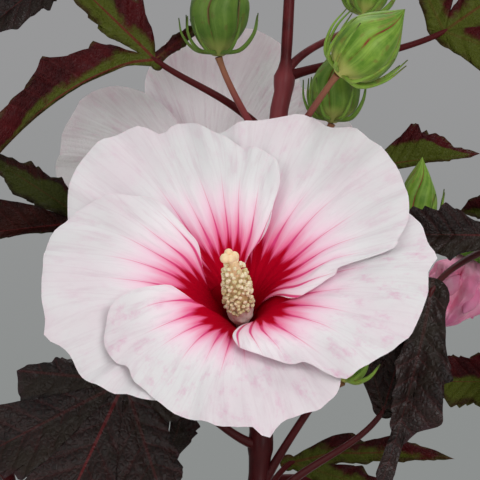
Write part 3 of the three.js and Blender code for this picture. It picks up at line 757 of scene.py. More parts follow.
stemLook = {
    "sides": 24, "rows": 150, "swelling": 0.24, "swellingReach": 4.5, "waist": 0.05,
    "stalkRows": 26, "stalkRadius": 2.3, "stalkFoot": 1.1, "footFade": 14,
}
stems = {
    "main": {"radii": [(106, 7), (415, 5.3), (560, 4.7), (597, 4.5), (605, 2.95), (706, 2.4)], "path": [
        (-6, 2, 106), (-4, 2, 170), (0, 0, 260), (5, -2, 340), (10, 0, 415), (14, 4, 500),
        (18.8, 5, 577), (21.4, 5.5, 593), (22.8, 6, 609), (24.4, 6, 638), (26, 8, 675), (24, 11, 706)]},
    "right": {"radii": [(106, 5.6), (592, 2.2)], "path": [
        (20, -8, 106), (24, -9, 170), (54, -4, 250), (94, 3, 325), (126, 8, 395), (137, 8, 460),
        (143, 6, 520), (152, 14, 560), (163, 24, 592)]},
    "left": {"radii": [(106, 5.4), (420, 2.4)], "path": [
        (-26, 2, 106), (-30, 3, 170), (-56, 12, 245), (-88, 24, 315), (-112, 32, 375), (-122, 34, 420)]},
    "back": {"radii": [(106, 5.4), (410, 2.4)], "path": [
        (4, 24, 106), (6, 30, 170), (10, 56, 245), (13, 82, 320), (13, 98, 375), (13, 104, 410)]},
}
for stem in stems.values():
    stem["line"] = throughPoints(stem["path"])
    stem["nodes"] = []
    stem["stalks"] = []


def stemAt(name, height):
    line = stems[name]["line"]
    return np.array([np.interp(height, line[:, 2], line[:, k]) for k in range(3)])


def growPedicel(stem, height, stop, axis, tipRadius, green=0.6, bow=0.05):
    # a flower stalk is one piece with its stem, and greens towards its flower
    stems[stem]["nodes"].append(height)
    rows, thick = stemLook["stalkRows"], stemLook["stalkRadius"]
    line = stalkLine(stemAt(stem, height), stop, axis, bow, rows)
    share = np.linspace(0, 1, rows)
    radii = thick + (tipRadius * 0.92 - thick) * share ** 0.6
    radii = radii + stemLook["stalkFoot"] * np.exp(-share * stemLook["footFade"])
    radii = radii * (1 + 0.3 * smoothStep(share, 0.93, 1.0))
    stems[stem]["stalks"].append(tube(line, radii, marks={"edge": green * smoothStep(share, 0.45, 1.0)}))


def addStems():
    for name, stem in stems.items():
        line = evenly(stem["line"], stemLook["rows"])
        radii = np.interp(line[:, 2], *np.array(stem["radii"], float).T)
        for height in stem["nodes"]:
            away = (line[:, 2] - height) / stemLook["swellingReach"]
            swollen, narrowed = np.exp(-away ** 2), np.exp(-(away - 1.9) ** 2)
            radii = radii * (1 + stemLook["swelling"] * swollen - stemLook["waist"] * narrowed)
        patches = [tube(line, radii, stemLook["sides"]), *stem["stalks"]]
        addPiece(pieceName("stem", name), patches, "stem", ["stem_" + name])


# Leaves: palmate blades. Rays run from the base of the blade out to its toothed edge.

leafShape = {
    "thick": 0.7, "heel": 0.07, "shoulder": 0.11, "teeth": (0.8, 1.12), "apart": 0.985,
    "fineTeeth": 3, "fineDepth": 0.2, "smoothEdge": 0.96, "fold": 0.3, "wave": 2.2,
    "ribHeight": 0.3, "ribDrop": 0.9, "ribWidth": 0.012, "pucker": 1.25, "openSide": 55,
    "near": (58, 13), "far": (24, 11), "heelRays": 13,
    "stalkRadii": (2.3, 1.35), "stalkSides": 16, "stalkRows": 30, "stalkFoot": 1.0, "footFade": 16,
}
threeLobes = [(52, 0.78), (0, 1), (-52, 0.78)]
fiveLobes = [(98, 0.46), (48, 0.8), (0, 1), (-48, 0.8), (-98, 0.46)]


def lobeWidth(t):
    return np.clip(t, 0, 1) ** 0.8 * np.clip(1 - t, 0, 1) ** 0.9 / 0.3087


def toothSize(q, teeth, seed):
    # coarse teeth that lean to the tip, with finer ones on their backs
    low, high = leafShape["teeth"]
    x = (q * teeth) % 1
    coarse = low + (high - low) * np.where(x < 0.75, (x / 0.75) ** 1.3, ((1 - x) / 0.25))
    y = (q * teeth * leafShape["fineTeeth"] + 0.35 * np.sin(9 * q + seed)) % 1
    fine = np.where(y < 0.75, y / 0.75, (1 - y) / 0.25) - 0.5
    return coarse + leafShape["fineDepth"] * fine * (0.8 + 0.4 * np.sin(17 * q + 2 * seed))


def lobeSides(length, lobes, k, side, cutPoint, wide, cut, points, seed, outline):
    # the smooth and the toothed edge on one side of a lobe, from the cut to its tip
    degrees, share, curl, lean = lobes[k][:4]
    start = min(0.45, 0.9 * cut / share)
    q = np.linspace(0, 1, points) ** 0.92
    t = start + (1 - start) * q
    reach = t * share * length
    other = k - side
    spread = np.radians(abs(lobes[other][0] - degrees) / 2) if 0 <= other < len(lobes) else np.radians(80)
    room = leafShape["apart"] * reach * np.tan(spread) - side * curl * share * length * t * t
    if outline:
        half = np.interp(t, *np.array(outline[0 if side > 0 else 1], float).T)
    else:
        half = wide * length * (0.55 + 0.45 * share) * (1 + side * lean) * lobeWidth(t)
    blend = smoothStep(q, 0, min(0.2, cut))
    edges = []
    for size in (leafShape["smoothEdge"], toothSize(q, 3 if share > 0.9 else 2, seed)):
        across = side * np.minimum(half * size, room)
        edge = np.stack([reach, across], -1)
        edges.append(cutPoint + (edge - cutPoint) * blend[:, None])
    return edges


def leafBlade(length, lobes, wide, cut, droop, phase, grid, sky, midrib, outlines):
    # a lobe is its angle and its share of the length, then, where they are not 0, its curl, its lean,
    # which widens one side, and how much browner it is than the rest
    points, rows = grid
    lobes = [(*lobe, 0, 0, 0)[:5] for lobe in lobes]
    shoulder = leafShape["shoulder"] * length * min(1, wide / 0.19) ** 2
    depths = [cut * min(1, (a[1] + b[1]) / 1.7, 1.3 * min(a[1], b[1])) for a, b in zip(lobes, lobes[1:])]
    turns = [(a[0] + b[0]) / 2 for a, b in zip(lobes, lobes[1:])]
    beyond = leafShape["openSide"]
    cuts = [(lobes[0][0] + beyond, shoulder), *zip(turns, np.array(depths) * length),
            (lobes[-1][0] - beyond, shoulder)]

    parts = []
    rho = (np.linspace(0, 1, rows + 1) ** 0.85)[:, None]
    for k, (degrees, share, curl, lean, brown) in enumerate(lobes):
        for side in (1, -1):
            turn, depth = cuts[k if side > 0 else k + 1]
            turn = np.radians(turn - degrees)
            cutPoint = aroundZ(depth, turn, 0)[:2]
            outline = outlines[k] if k < len(outlines) else None
            smooth, toothed = lobeSides(length, lobes, k, side, cutPoint, wide, cut, points,
                                        phase + 3 * k + side, outline)
            lobe = rho[..., None] * smooth + (rho ** 7)[..., None] * (toothed - smooth)
            if side < 0:
                lobe = lobe[:, ::-1]
            parts.append((lobe, degrees, share, curl, brown))
    # the strip behind the base, from the last shoulder round the heel to the first
    opening = np.radians(360 - (cuts[0][0] - cuts[-1][0]))
    turn = np.radians(cuts[-1][0]) - np.linspace(0, opening, leafShape["heelRays"])
    heel = leafShape["heel"] * length
    rim = heel + (shoulder - heel) * np.abs(np.linspace(-1, 1, len(turn))) ** 1.5
    parts.append((rho[..., None] * aroundZ(rim, turn, 0)[:, :2], 0, 1, 0, 0))

    lie, flat = [], []
    for lobe, degrees, share, curl, brown in parts:
        # a and s run along the lobe and to its side, and own is s before the lobe curls
        a, own = lobe[..., 0], lobe[..., 1]
        far = np.hypot(a, own) / length
        t = a / (share * length)
        grown = smoothStep(far, 0.75 * cut, 0.75 * cut + 0.2)
        s = own + curl * share * length * t ** 2 * grown
        wave = leafShape["wave"] * np.sin(9 * t + 2.1 * degrees + phase)
        wave = wave * np.minimum(1, np.abs(own) / (0.1 * length))
        height = grown * (leafShape["fold"] * np.abs(own) + wave)
        opened = np.broadcast_to(smoothStep(1 - rho, 0, 0.25), a.shape)
        off = np.abs(own) / length
        veins = (a / length - veinSlope * off) * leafVeins
        between = np.abs(veins - np.round(veins)) * 2
        bulge = leafShape["pucker"] * np.sin(between * np.pi / 2) ** 1.3
        height = height + bulge * smoothStep(off, 0.01, 0.05) * opened * length / 90
        angle = np.radians(degrees)
        x = a * np.cos(angle) - s * np.sin(angle)
        y = a * np.sin(angle) + s * np.cos(angle)
        flat.append(np.stack([x, y, height - droop * length * far ** 2], -1))
        rib = np.exp(-(off / leafShape["ribWidth"]) ** 2) * (1 - 0.75 * np.clip(t, 0, 1))
        sun = own / length * (sky[1] * np.cos(angle) - sky[0] * np.sin(angle)) + brown * opened
        lead = np.full(a.shape, midrib if share > 0.99 else 0.3 * midrib)
        lie.append(np.stack([a / length, own / length, rib, opened, sun, lead], -1))
    blade, facts = np.concatenate(flat, 1)[:, ::-1], np.concatenate(lie, 1)[:, ::-1]
    along, side, rib, opened, sun, lead = np.moveaxis(facts, -1, 0)
    gap = distanceTo(blade[-1], blade)
    thick = leafShape["thick"] * (1 - np.exp(-gap / 1.2))
    thick[-1] = 0
    return sheet(blade, gridOf(along, side), thick, leafShape["ribHeight"] * rib * opened,
                 leafShape["ribDrop"] * rib * opened, {"edge": gap, "sun": sun, "lead": lead})


leafCount = 0


def leaf(name, stem, node, base, aim, face, length, lobes=threeLobes, wide=0.19, cut=0.2, droop=0.25,
         bow=0.16, green=False, near=False, finish=None, midrib=0.5, outlines=()):
    global leafCount
    place = frameOf(base, aim, face)
    grid = leafShape["near" if near else "far"]
    sky = place[1][:2, 2]      # which way is up, in the blade's own frame
    blade = leafBlade(length, lobes, wide, cut, droop, leafCount, grid, sky, midrib, outlines)
    leafCount += 1
    stems[stem]["nodes"].append(node)
    start = stemAt(stem, node)
    chord = unit(np.array(base, float) - start)
    line = stalkLine(start, base, chord + unit(aim), bow)
    under = np.array(base) + unit(aim) * length * 0.05 - place[1][2] * 0.6
    line = evenly(np.concatenate([line, [under]]), leafShape["stalkRows"])
    share = np.linspace(0, 1, len(line))
    thick, thin = leafShape["stalkRadii"]
    foot = leafShape["stalkFoot"] * np.exp(-share * leafShape["footFade"])
    radii = (thick + (thin - thick) * share + foot) * (1 - 0.55 * smoothStep(share, 0.93, 1.0))
    stalk = tube(line, radii, leafShape["stalkSides"], across=(-2, -1.2), marks={"edge": 9.0})
    age = "young" if green else "dark"
    patches = [*placed(blade, place), stalk]
    addPiece(pieceName("leaf", name), patches, finish or age, ["leaf_" + name], sharp=60)


def growLeaves():
    # name, stem, height of its node, base of the blade, aim of its middle lobe, its upper face, length
    leaf("crown_left", "main", 566, (-42, -5, 609), (-0.8, -0.05, 0.6), (0.1, -0.95, 0.3), 86,
         lobes=[(45, 1.1, 0.5, 0, -0.04), (-8, 1), (-104, 0.36, 0, 0, 0.1)], wide=0.125, cut=0.1, droop=0.05,
         green=True, near=True, midrib=0.8,
         outlines=[([(0, 1), (0.1, 1.5), (0.9, 1.5), (1, 0)],
                    [(0.05, 3.5), (0.14, 6.5), (0.25, 11.5), (0.43, 18), (0.62, 20), (0.81, 17), (0.93, 11),
                     (1, 0)]),
                   ([(0.04, 2.5), (0.12, 4.5), (0.25, 8), (0.45, 10), (0.7, 7), (1, 0)],
                    [(0.04, 6), (0.12, 11.5), (0.25, 14.5), (0.45, 15), (0.7, 10), (1, 0)]),
                   ([(0.1, 1.8), (0.35, 3.6), (0.6, 3.8), (0.85, 2.5), (1, 0)],
                    [(0.1, 1.8), (0.35, 3.6), (0.6, 3.8), (0.85, 2.5), (1, 0)])])
    leaf("crown_top_left", "main", 655, (-79, 35, 667), (-0.82, 0.05, -0.57), (-0.2, -0.9, 0.4), 80,
         lobes=[(86, 0.5), (0, 1), (-60, 0.8)], droop=0.1, near=True)
    leaf("crown_right", "main", 601, (102, 8, 624), (0.81, -0.1, 0.59), (-0.1, -0.95, 0.3), 82,
         lobes=[(80, 0.55, 0, -0.6), (0, 1), (-57, 0.8)], bow=0.02, green=True, near=True)
    leaf("side_right", "main", 535, (66, 20, 557), (0.99, 0, 0.14), (-0.1, -0.9, 0.4), 56,
         lobes=[(0, 1, 0, 0, -0.2), (-62, 0.36)], cut=0.3, wide=0.17, droop=0.05, green=True, near=True,
         outlines=[([(0.05, 10), (0.2, 15), (0.36, 17.5), (0.5, 16), (0.67, 10), (0.83, 5), (0.95, 1.6),
                     (1, 0)],
                    [(0.05, 3), (0.3, 3.5), (0.6, 3.2), (0.9, 1.5), (1, 0)])])
    leaf("side_left", "main", 508, (-75, 0, 529), (-0.98, -0.1, -0.1), (0.1, -0.95, 0.3), 66,
         lobes=[(72, 0.6), (0, 1, 0, -0.6, 0.2), (-41, 0.95, 0, 0, -0.08)], wide=0.15, droop=0.05, green=True,
         near=True, finish="olive", midrib=0.9)
    leaf("low_left", "main", 418, (-55, -35, 452), (-0.42, -0.25, -0.87), (-0.3, -0.9, 0.35), 104,
         lobes=[(95, 0.38), (44, 0.8, 0, -0.45), (0, 1, 0, -0.1), (-42, 0.9), (-76, 0.56, 0, 0.6)], cut=0.6,
         wide=0.27, droop=0.05, bow=-0.08, near=True, midrib=1.0)
    leaf("behind_left", "main", 352, (-38, 12, 411), (-0.2, 0.35, 0.9), (0.1, -0.95, 0.3), 66,
         lobes=[(55, 0.8), (0, 1), (-38, 0.6, 0.2)], near=True)
    leaf("low_right", "main", 364, (26, 35, 406), (0.97, 0, 0.22), (0.1, -0.95, 0.3), 82,
         lobes=[(0, 1, -0.2), (-30, 0.7)], cut=0.3, wide=0.12, droop=0.03, green=True, near=True,
         outlines=[([(0.05, 3), (0.12, 6.5), (0.3, 11.5), (0.38, 11.8), (0.48, 6), (0.56, 6), (0.68, 9),
                     (0.84, 4.4), (1, 0)],
                    [(0.05, 3), (0.2, 5), (0.5, 5.5), (0.8, 4), (1, 0)])])
    leaf("upright_right", "main", 381, (70, -18, 437), (0.28, -0.05, 0.96), (-0.15, -0.95, 0.2), 54,
         lobes=[(32, 0.66, 0, -0.3), (0, 1), (-36, 0.75)], cut=0.4, wide=0.22, droop=0.05, near=True)
    leaf("top_back", "main", 672, (44, 60, 690), (0.5, 0.8, -0.25), (0, 0.2, 1), 70, green=True)
    leaf("top_right", "main", 690, (72, 2, 712), (0.9, -0.2, -0.2), (0, -0.1, 1), 54, green=True)
    leaf("top_left", "main", 684, (-6, 36, 724), (-0.6, 0.7, -0.1), (0, 0, 1), 44, green=True)
    leaf("base_front", "main", 345, (-30, -70, 356), (-0.25, -0.8, -0.5), (0, -0.4, 0.9), 112,
         lobes=fiveLobes)
    leaf("base_right", "main", 300, (66, -52, 322), (0.7, -0.6, -0.35), (0.2, -0.3, 0.9), 108,
         lobes=fiveLobes)
    leaf("base_left", "main", 268, (-74, -48, 276), (-0.8, -0.5, -0.4), (-0.3, -0.2, 0.9), 112,
         lobes=fiveLobes)
    leaf("base_low", "main", 228, (30, -82, 244), (0.35, -0.85, -0.4), (0, -0.4, 0.9), 104, lobes=fiveLobes)
    leaf("right_hanging", "right", 524, (92, -30, 495), (-0.19, -0.1, -0.98), (0.1, -0.98, 0.1), 100,
         lobes=[(0, 1, -0.07)], cut=0.2, droop=0.02, bow=0.02, near=True,
         midrib=0.2,
         outlines=[([(0.05, 3), (0.14, 8), (0.25, 12.5), (0.37, 16), (0.54, 18.5), (0.63, 17.5), (0.67, 9),
                     (0.76, 4.6), (0.95, 4.2), (1, 0)],
                    [(0.05, 3), (0.2, 8), (0.4, 9.5), (0.52, 9), (0.6, 6), (0.7, 3.4), (0.9, 4), (1, 0)])])
    leaf("right_pointing", "right", 505, (121, -38, 522), (-1, -0.05, 0.02), (0, -0.95, 0.3), 60,
         lobes=[(105, 0.55), (0, 1), (-105, 0.55)], wide=0.22, droop=0.02, near=True)
    leaf("right_behind", "right", 445, (143, 42, 446.5), (-1, -0.1, 0.03), (0, -0.95, 0.3), 54,
         lobes=[(105, 0.5), (0, 1), (-105, 0.5)], wide=0.26, droop=0.05, green=True, near=True)
    leaf("right_small", "right", 534, (150, -8, 535), (-1, -0.1, 0), (0, -0.9, 0.4), 42,
         lobes=[(100, 0.5), (0, 1), (-100, 0.5)], wide=0.26, droop=0.05, green=True, near=True)
    leaf("right_top", "right", 575, (200, 4, 606), (0.75, -0.5, 0.1), (-0.2, -0.2, 1), 72, green=True)
    leaf("right_back", "right", 480, (186, 44, 500), (0.7, 0.55, -0.35), (0.2, 0.2, 1), 84)
    leaf("right_out", "right", 415, (196, -34, 424), (0.85, -0.35, -0.45), (0.3, -0.1, 0.9), 96,
         lobes=fiveLobes)
    leaf("right_front", "right", 340, (124, -68, 352), (0.4, -0.75, -0.5), (0.2, -0.4, 0.9), 100,
         lobes=fiveLobes)
    leaf("right_low", "right", 285, (140, 40, 290), (0.8, 0.35, -0.45), (0.3, 0.1, 0.9), 104, lobes=fiveLobes)
    leaf("left_top", "left", 398, (-170, 8, 430), (-0.8, -0.4, -0.1), (-0.2, -0.2, 1), 76, green=True)
    leaf("left_back", "left", 390, (-128, 92, 404), (-0.4, 0.8, -0.35), (-0.1, 0.2, 1), 86)
    leaf("left_out", "left", 350, (-172, 30, 352), (-0.85, 0.1, -0.5), (-0.4, 0, 0.9), 100, lobes=fiveLobes)
    leaf("left_front", "left", 312, (-130, -34, 322), (-0.55, -0.7, -0.45), (-0.2, -0.3, 0.9), 100)
    leaf("left_low", "left", 262, (-120, 58, 268), (-0.65, 0.55, -0.45), (-0.3, 0.2, 0.9), 104,
         lobes=fiveLobes)
    leaf("back_top", "back", 388, (78, 136, 375), (0.65, 0.65, -0.3), (0.2, 0.2, 1), 78, green=True)
    leaf("back_left", "back", 372, (0, 130, 384), (-0.6, 0.7, -0.35), (-0.2, 0.2, 1), 88)
    leaf("back_right", "back", 330, (98, 112, 330), (0.75, 0.5, -0.45), (0.2, 0.3, 0.9), 94)
    leaf("back_low", "back", 270, (-24, 112, 286), (-0.4, 0.8, -0.5), (-0.1, 0.3, 0.9), 104, lobes=fiveLobes)


# Open blooms: five overlapping petals round a throat, each with its own rim

petalShape = {
    "throatRadius": 5, "reach": 87, "rise": 41, "recurve": 3, "lift": 4.5, "ruffle": 2.4, "thick": 0.8,
    "crimp": 1.0, "crimpTurns": 23, "pleat": 0.5,
}
blooms = {
    "front": {
        "stem": "main", "height": 428, "throat": (1, -50, 479.8), "axis": (-0.077, -0.816, 0.573),
        "side": (1, 0, 0), "phase": 1, "grid": (88, 56),
        # rim: how far the petal reaches at an angle in degrees, against its plain shape
        # sway: degrees that its clockwise side is turned by, along the petal
        "petals": [
            {"shape": (116, 55, 1.06, 0.15, 5), "flecks": 0.2,
             "rim": [(60, 0.92), (64, 0.94), (69, 0.9), (73, 0.92), (78, 0.895), (83, 0.85), (91, 0.85),
                     (97, 0.91), (103, 1.0), (106.5, 1.03), (110, 0.995), (112.5, 0.975), (114, 1.03),
                     (116, 1.08), (120, 1.09), (128, 1.07), (135, 1.03), (145, 0.95), (151, 0.91), (171, 0.9)],
             "sway": [(0.15, 8), (0.31, 8), (0.45, 2), (0.62, 3), (0.8, 0)]},
            {"shape": (56, 66, 1.08, 0.05, 2.5), "flecks": 0.3,
             "rim": [(-12, 1.0), (-7, 0.9), (-3, 0.8), (2, 0.74), (5, 0.87), (7, 0.98), (12, 0.99), (22, 1.0),
                     (36, 1.008), (50, 1.014), (57, 1.02), (63, 0.985), (68, 1.03), (72, 1.03), (81, 1.0),
                     (120, 1.0)],
             "sway": [(0.15, -2), (0.24, -4), (0.33, -9), (0.44, -2), (0.53, 4), (0.7, 0)]},
            {"shape": (-10, 70, 0.97, 0.1, 2.5), "flecks": 0.75,
             "rim": [(-82, 1.1), (-72, 0.94), (-62, 0.865), (-56, 0.85), (-53, 0.94), (-50, 1.01),
                     (-47, 1.01), (-44, 0.99), (-37, 0.96), (-30, 0.975), (-21, 0.97), (-6, 0.98), (0, 0.98),
                     (4, 1.03), (8, 1.01), (19, 1.03), (60, 1.0)],
             "sway": [(0.1, -6), (0.28, -13), (0.42, -13), (0.52, -6), (0.62, 0)]},
            {"shape": (-108, 70, 0.88, 0.08, 5), "flecks": 0.6, "raised": 1.0,
             "rim": [(-178, 0.88), (-169, 0.91), (-157, 0.9), (-150, 0.905), (-143, 0.89), (-134, 0.85),
                     (-130, 0.88), (-124, 0.875), (-117, 0.895), (-107, 0.9), (-98, 0.913), (-89, 0.94),
                     (-84, 0.955), (-81, 1.02), (-77, 0.95), (-72, 0.915), (-65, 0.935), (-58, 0.98),
                     (-52, 1.04), (-42, 1.08)],
             "sway": [(0.15, 20), (0.28, 26), (0.38, 18), (0.49, 8), (0.63, 6), (0.75, 3), (1, 0)]},
            {"shape": (190, 65, 1.0, 0.0, 5), "flecks": 0.2,
             "rim": [(122, 0.95), (129, 0.96), (136, 0.92), (144, 0.94), (155, 0.975), (163, 1.01),
                     (173, 0.98), (184, 0.97), (192, 0.965), (197, 0.985), (200, 0.935), (204, 0.905),
                     (214, 0.91), (225, 0.88), (230, 0.86), (238, 0.88), (255, 0.9)],
             "sway": [(0.1, 14), (0.2, 14), (0.28, 8), (0.4, 2), (0.5, 3), (0.7, 0)]},
        ],
    },
    "rear": {
        "stem": "main", "height": 478, "throat": (-14, 56, 538), "axis": (-0.15, 0.86, 0.48),
        "side": (-1, 0, 0), "phase": 2.4, "grid": (48, 40),
        "petals": [
            {"shape": (103, 54, 0.92, 0, 2.5), "flecks": 0.4,
             "rim": [(85, 1.0), (94, 1.02), (98, 0.97), (104, 1.01), (125, 1.0)]},
            {"shape": (12, 56, 0.92, 0, 3), "flecks": 0.3,
             "rim": [(-40, 0.95), (0, 0.92), (10, 0.93), (16, 0.92), (20, 0.94), (30, 0.95), (45, 1.0),
                     (68, 1.0)]},
            {"shape": (-58, 58, 0.9, 0, 3), "flecks": 0.5,
             "rim": [(-80, 1.0), (-54, 1.02), (-50, 0.98), (-45, 1.01), (-30, 1.0)]},
            {"shape": (-128, 58, 0.88, 0, 3), "flecks": 0.3,
             "rim": [(-150, 1.0), (-124, 1.01), (-120, 0.97), (-115, 1.01), (-100, 1.0)]},
            {"shape": (172, 56, 0.86, 0, 2.5), "flecks": 0.4,
             "rim": [(150, 1.0), (176, 1.02), (180, 0.97), (185, 1.01), (200, 1.0)]},
        ],
    },
}


def petalSheet(petal, phase, grid, seed):
    azimuth, half, reach, skew, square = petal["shape"]
    look = petalShape
    across = np.linspace(-1, 1, grid[0])[None, :]
    row = (np.linspace(0, 1, grid[1]) ** 0.9)[:, None]
    v = np.sin(across * np.pi / 2)
    u = row * (0.5 + 0.5 * (1 - np.abs(v) ** square) ** 0.8)
    sway = knotCurve(u, petal.get("sway", [(0, 0), (1, 0)])) * ((1 - v) / 2) ** 3
    fan = half * (0.5 + 0.5 * smoothStep(u, 0, 0.42))
    turn = azimuth + v * fan
    rim = 1 + (knotCurve(turn, petal["rim"]) - 1) * row ** 2.5
    angle = np.radians(turn + sway)
    r = look["throatRadius"] + look["reach"] * reach * (1 + skew * v) * rim * u ** 1.35
    # the veins wander a little, and the petal is pleated between them
    course = v + 0.8 * sway / fan
    warped = course + 0.03 * np.sin(5 * v + seed) + 0.02 * np.sin(11 * v + 7 * u + seed) * u
    veins = warped * petalLook["veins"]
    lane = np.abs(veins - np.round(veins)) * 2
    pleat = look["pleat"] * (np.sin(lane * np.pi / 2) - 0.5) * smoothStep(u, 0.08, 0.3) * (1 + 0.8 * u)
    crimp = np.sin(look["crimpTurns"] * angle + 1.7 * seed + 5 * u) + 0.6 * np.sin(41 * angle - 9 * u + seed)
    crimp = look["crimp"] * crimp * smoothStep(u, 0.62, 1.0)
    z = look["rise"] * (1 - (1 - u) ** 2.6) - look["recurve"] * u ** 4
    lift = look["lift"] * (1 + petal.get("raised", 0) * smoothStep(-v, 0, 1))
    z = z - lift * v * np.minimum(1, u / 0.3) + look["ruffle"] * np.sin(8 * angle + phase) * u ** 3
    points = aroundZ(r, angle, z + pleat + crimp)
    gap = distanceTo(np.concatenate([points[-1], points[8:, 0], points[8:, -1]]), points)
    thick = look["thick"] * (1 - np.exp(-gap / 1.4))
    thick[[0, -1]] = 0
    thick[:, [0, -1]] = 0
    marks = {"edge": gap, "fleck": petal["flecks"] * smoothStep(u, 0.35, 0.6)}
    return sheet(points, gridOf(warped, u), thick, marks=marks)


throatCup = [(3.2, -7.6), (7, -7.6), (8.4, 3), (10.8, 9), (13.6, 13.4), (16, 16.6), (15.4, 17.2),
             (12.6, 14.2), (9.6, 9.8), (6.4, 4), (4, 0), (3.2, -7.6)]


def addPetals(name, bloom, place):
    patches = [turned(evenly(throatCup, 44, corners=True), 48, along=(0, 0.1))]
    for k, petal in enumerate(bloom["petals"]):
        patches += petalSheet(petal, bloom["phase"], bloom["grid"], 2 * k + bloom["phase"])
    look = "petal" if name == "front" else "rearPetal"
    addPiece(name + "Petals", placed(patches, place), look, ["bloom_" + name + "_petals"], sharp=70)


# Bracts, sepals and buds

bractShape = {"rows": 16, "sides": 10, "thick": 1.15, "thin": 0.28}


def bracts(count, foot, out, tall, spread, wander=0.4):
    rows, thick, thin = bractShape["rows"], bractShape["thick"], bractShape["thin"]
    share = np.linspace(0, 1, rows)
    radii = thick + (thin - thick) * share ** 1.2
    browned = {"edge": 0.8 * smoothStep(share, 0.8, 1.0)}
    patches = []
    for k in range(count):
        turn = k / count * fullTurn + wander * np.sin(5 * k)
        rise = tall * (1 + 0.12 * np.sin(3 * k + 1))
        lean = spread * (1 + 0.25 * np.sin(7 * k))
        spine = [(2, 0), (out * 0.75, 0.08 * rise), (out + lean * 0.6, 0.5 * rise), (out + lean, rise)]
        sway = 0.1 * np.sin(2.3 * k + 1)
        line = throughPoints([aroundZ(r, turn + sway * j, foot + z) for j, (r, z) in enumerate(spine)], rows)
        patches.append(tube(line, radii, bractShape["sides"], along=(0.14, 0.7), marks=browned))
    return patches


sepalShape = {
    "count": 5, "rootRadius": 13.6, "length": 17, "rootHeight": 4.5, "rise": 13, "halfAngle": 0.55,
    "thick": 1.1,
    "cup": [(0, -13.7), (2.6, -13.7), (7, -12), (11.5, -6), (15.5, 8), (14.3, 8), (9.9, -5.6), (7.6, -8),
            (0, -8)],
    "bracts": {"count": 8, "foot": -11, "out": 17, "tall": 20, "spread": 8},
    "stalkEnd": 13.9, "stalkTip": 2.5,
}


def openCalyx():
    look = sepalShape
    cup = evenly(look["cup"], 40, corners=True)
    patches = [turned(cup, 60, lambda angle, z: 1 + 0.02 * np.cos(15 * angle), along=(0.05, 0.5))]
    row = np.linspace(0, 1, 18)[:, None]
    v = np.linspace(-1, 1, 15)[None, :]
    thick = look["thick"] * np.minimum(1, 3 * (1 - np.abs(v))) * np.minimum(1, 6 * (1 - row))
    thick = thick * np.minimum(1, 8 * row)
    for k in range(look["count"]):
        turn = k * fullTurn / look["count"] + 0.3
        angle = turn + v * (look["halfAngle"] * np.maximum(1 - row, 0) ** 0.8 + 0.001)
        r = look["rootRadius"] + look["length"] * row
        z = look["rootHeight"] + look["rise"] * row - 1.2 * row * (1 - v ** 2) + 0.8 * np.sin(6 * row + k)
        patches += sheet(aroundZ(r, angle, z), gridOf(v, 0.35 + 0.6 * row), thick)
    return patches + bracts(**look["bracts"])


budShape = {
    "profile": [(0, 0.006), (0.16, 0.01), (0.3, 0.04), (0.74, 0.14), (0.93, 0.24), (0.99, 0.34), (1.0, 0.46),
                (0.92, 0.57), (0.75, 0.68), (0.51, 0.79), (0.29, 0.88), (0.12, 0.95), (0, 1)],
    "rows": 36, "columns": 13, "ridge": 0.075, "twist": 0.7, "bracts": 10, "bractFoot": 2.0, "bractGap": 1.5,
    "stalkTip": 1.6,
}
plainBud = (0.05, 0.54, 1, 0)
buds = {
    # stem, height of its node, base, axis, length, radius and how far the bracts lean out; then, where they
    # are not a plain bud's, the bow of its stalk, the bracts' share of its length, its belly and its painted
    # shade
    "large": ("main", 552, (46.3, -40, 598.8), (0.71, -0.17, 0.68), 45, 14.5, 4),
    "behind": ("main", 540, (45, -13, 577), (0.08, 0, 1), 38, 11.5, 3, 0.05, 0.5, 1, 0.35),
    "upright": ("main", 556, (-10.5, -15, 609.5), (0.0, -0.1, 1), 44, 13.5, 5, 0, 0.4, 0.74, 0.6),
    "high": ("main", 603, (62, 24, 633), (0.22, 0.05, 0.97), 34, 10, 4, 0.16, 0.5, 1, 0.2),
    "right": ("main", 394, (85.5, -8, 520), (0.1, -0.05, 1), 41, 9, 2.5),
    "low": ("main", 440, (49, -38, 452), (0.45, 0.1, 0.85), 24, 7.5, 3.5),
    "tip_main": ("main", 694, (16, 8, 722), (-0.3, -0.1, 1), 22, 7, 2.5),
    "tip_right": ("right", 584, (170, 26, 618), (0.1, 0.1, 1), 26, 8, 2.5),
    "left": ("left", 412, (-142, 20, 442), (-0.15, -0.1, 1), 30, 9, 3),
    "back": ("back", 402, (10, 108, 436), (-0.2, 0.2, 1), 28, 8.5, 3),
}


def closedSepals(length, radius, seed, belly):
    look = budShape
    profile = np.array(look["profile"])
    profile[3:, 1] = profile[3:, 1] ** belly
    smooth = throughPoints(profile, look["rows"])
    r, z = np.clip(smooth[:, :1], 0, None) * radius, smooth[:, 1:]
    r[[0, -1]] = 0
    across = np.linspace(-1, 1, look["columns"])[None, :]
    valve = 2 * np.abs(np.cos(across * np.pi / 2)) ** 0.7 - 1
    ribs = 0.012 * np.cos(across * np.pi * 2.5)
    patches = []
    for k in range(5):
        angle = (k + across / 2) * fullTurn / 5
        size = 1 + look["ridge"] * valve * smoothStep(z, 0.02, 0.3) + ribs * smoothStep(z, 0.1, 0.3)
        size = size * (1 + 0.03 * np.sin(2 * angle + seed) + 0.02 * np.sin(9 * z + k + seed))
        twisted = angle + look["twist"] * smoothStep(z, 0.5, 1.0) + 0.1 * np.sin(5 * z + seed)
        patches.append({"points": aroundZ(r * size, twisted, z * length), "uv": gridOf(across, z)})
    return patches


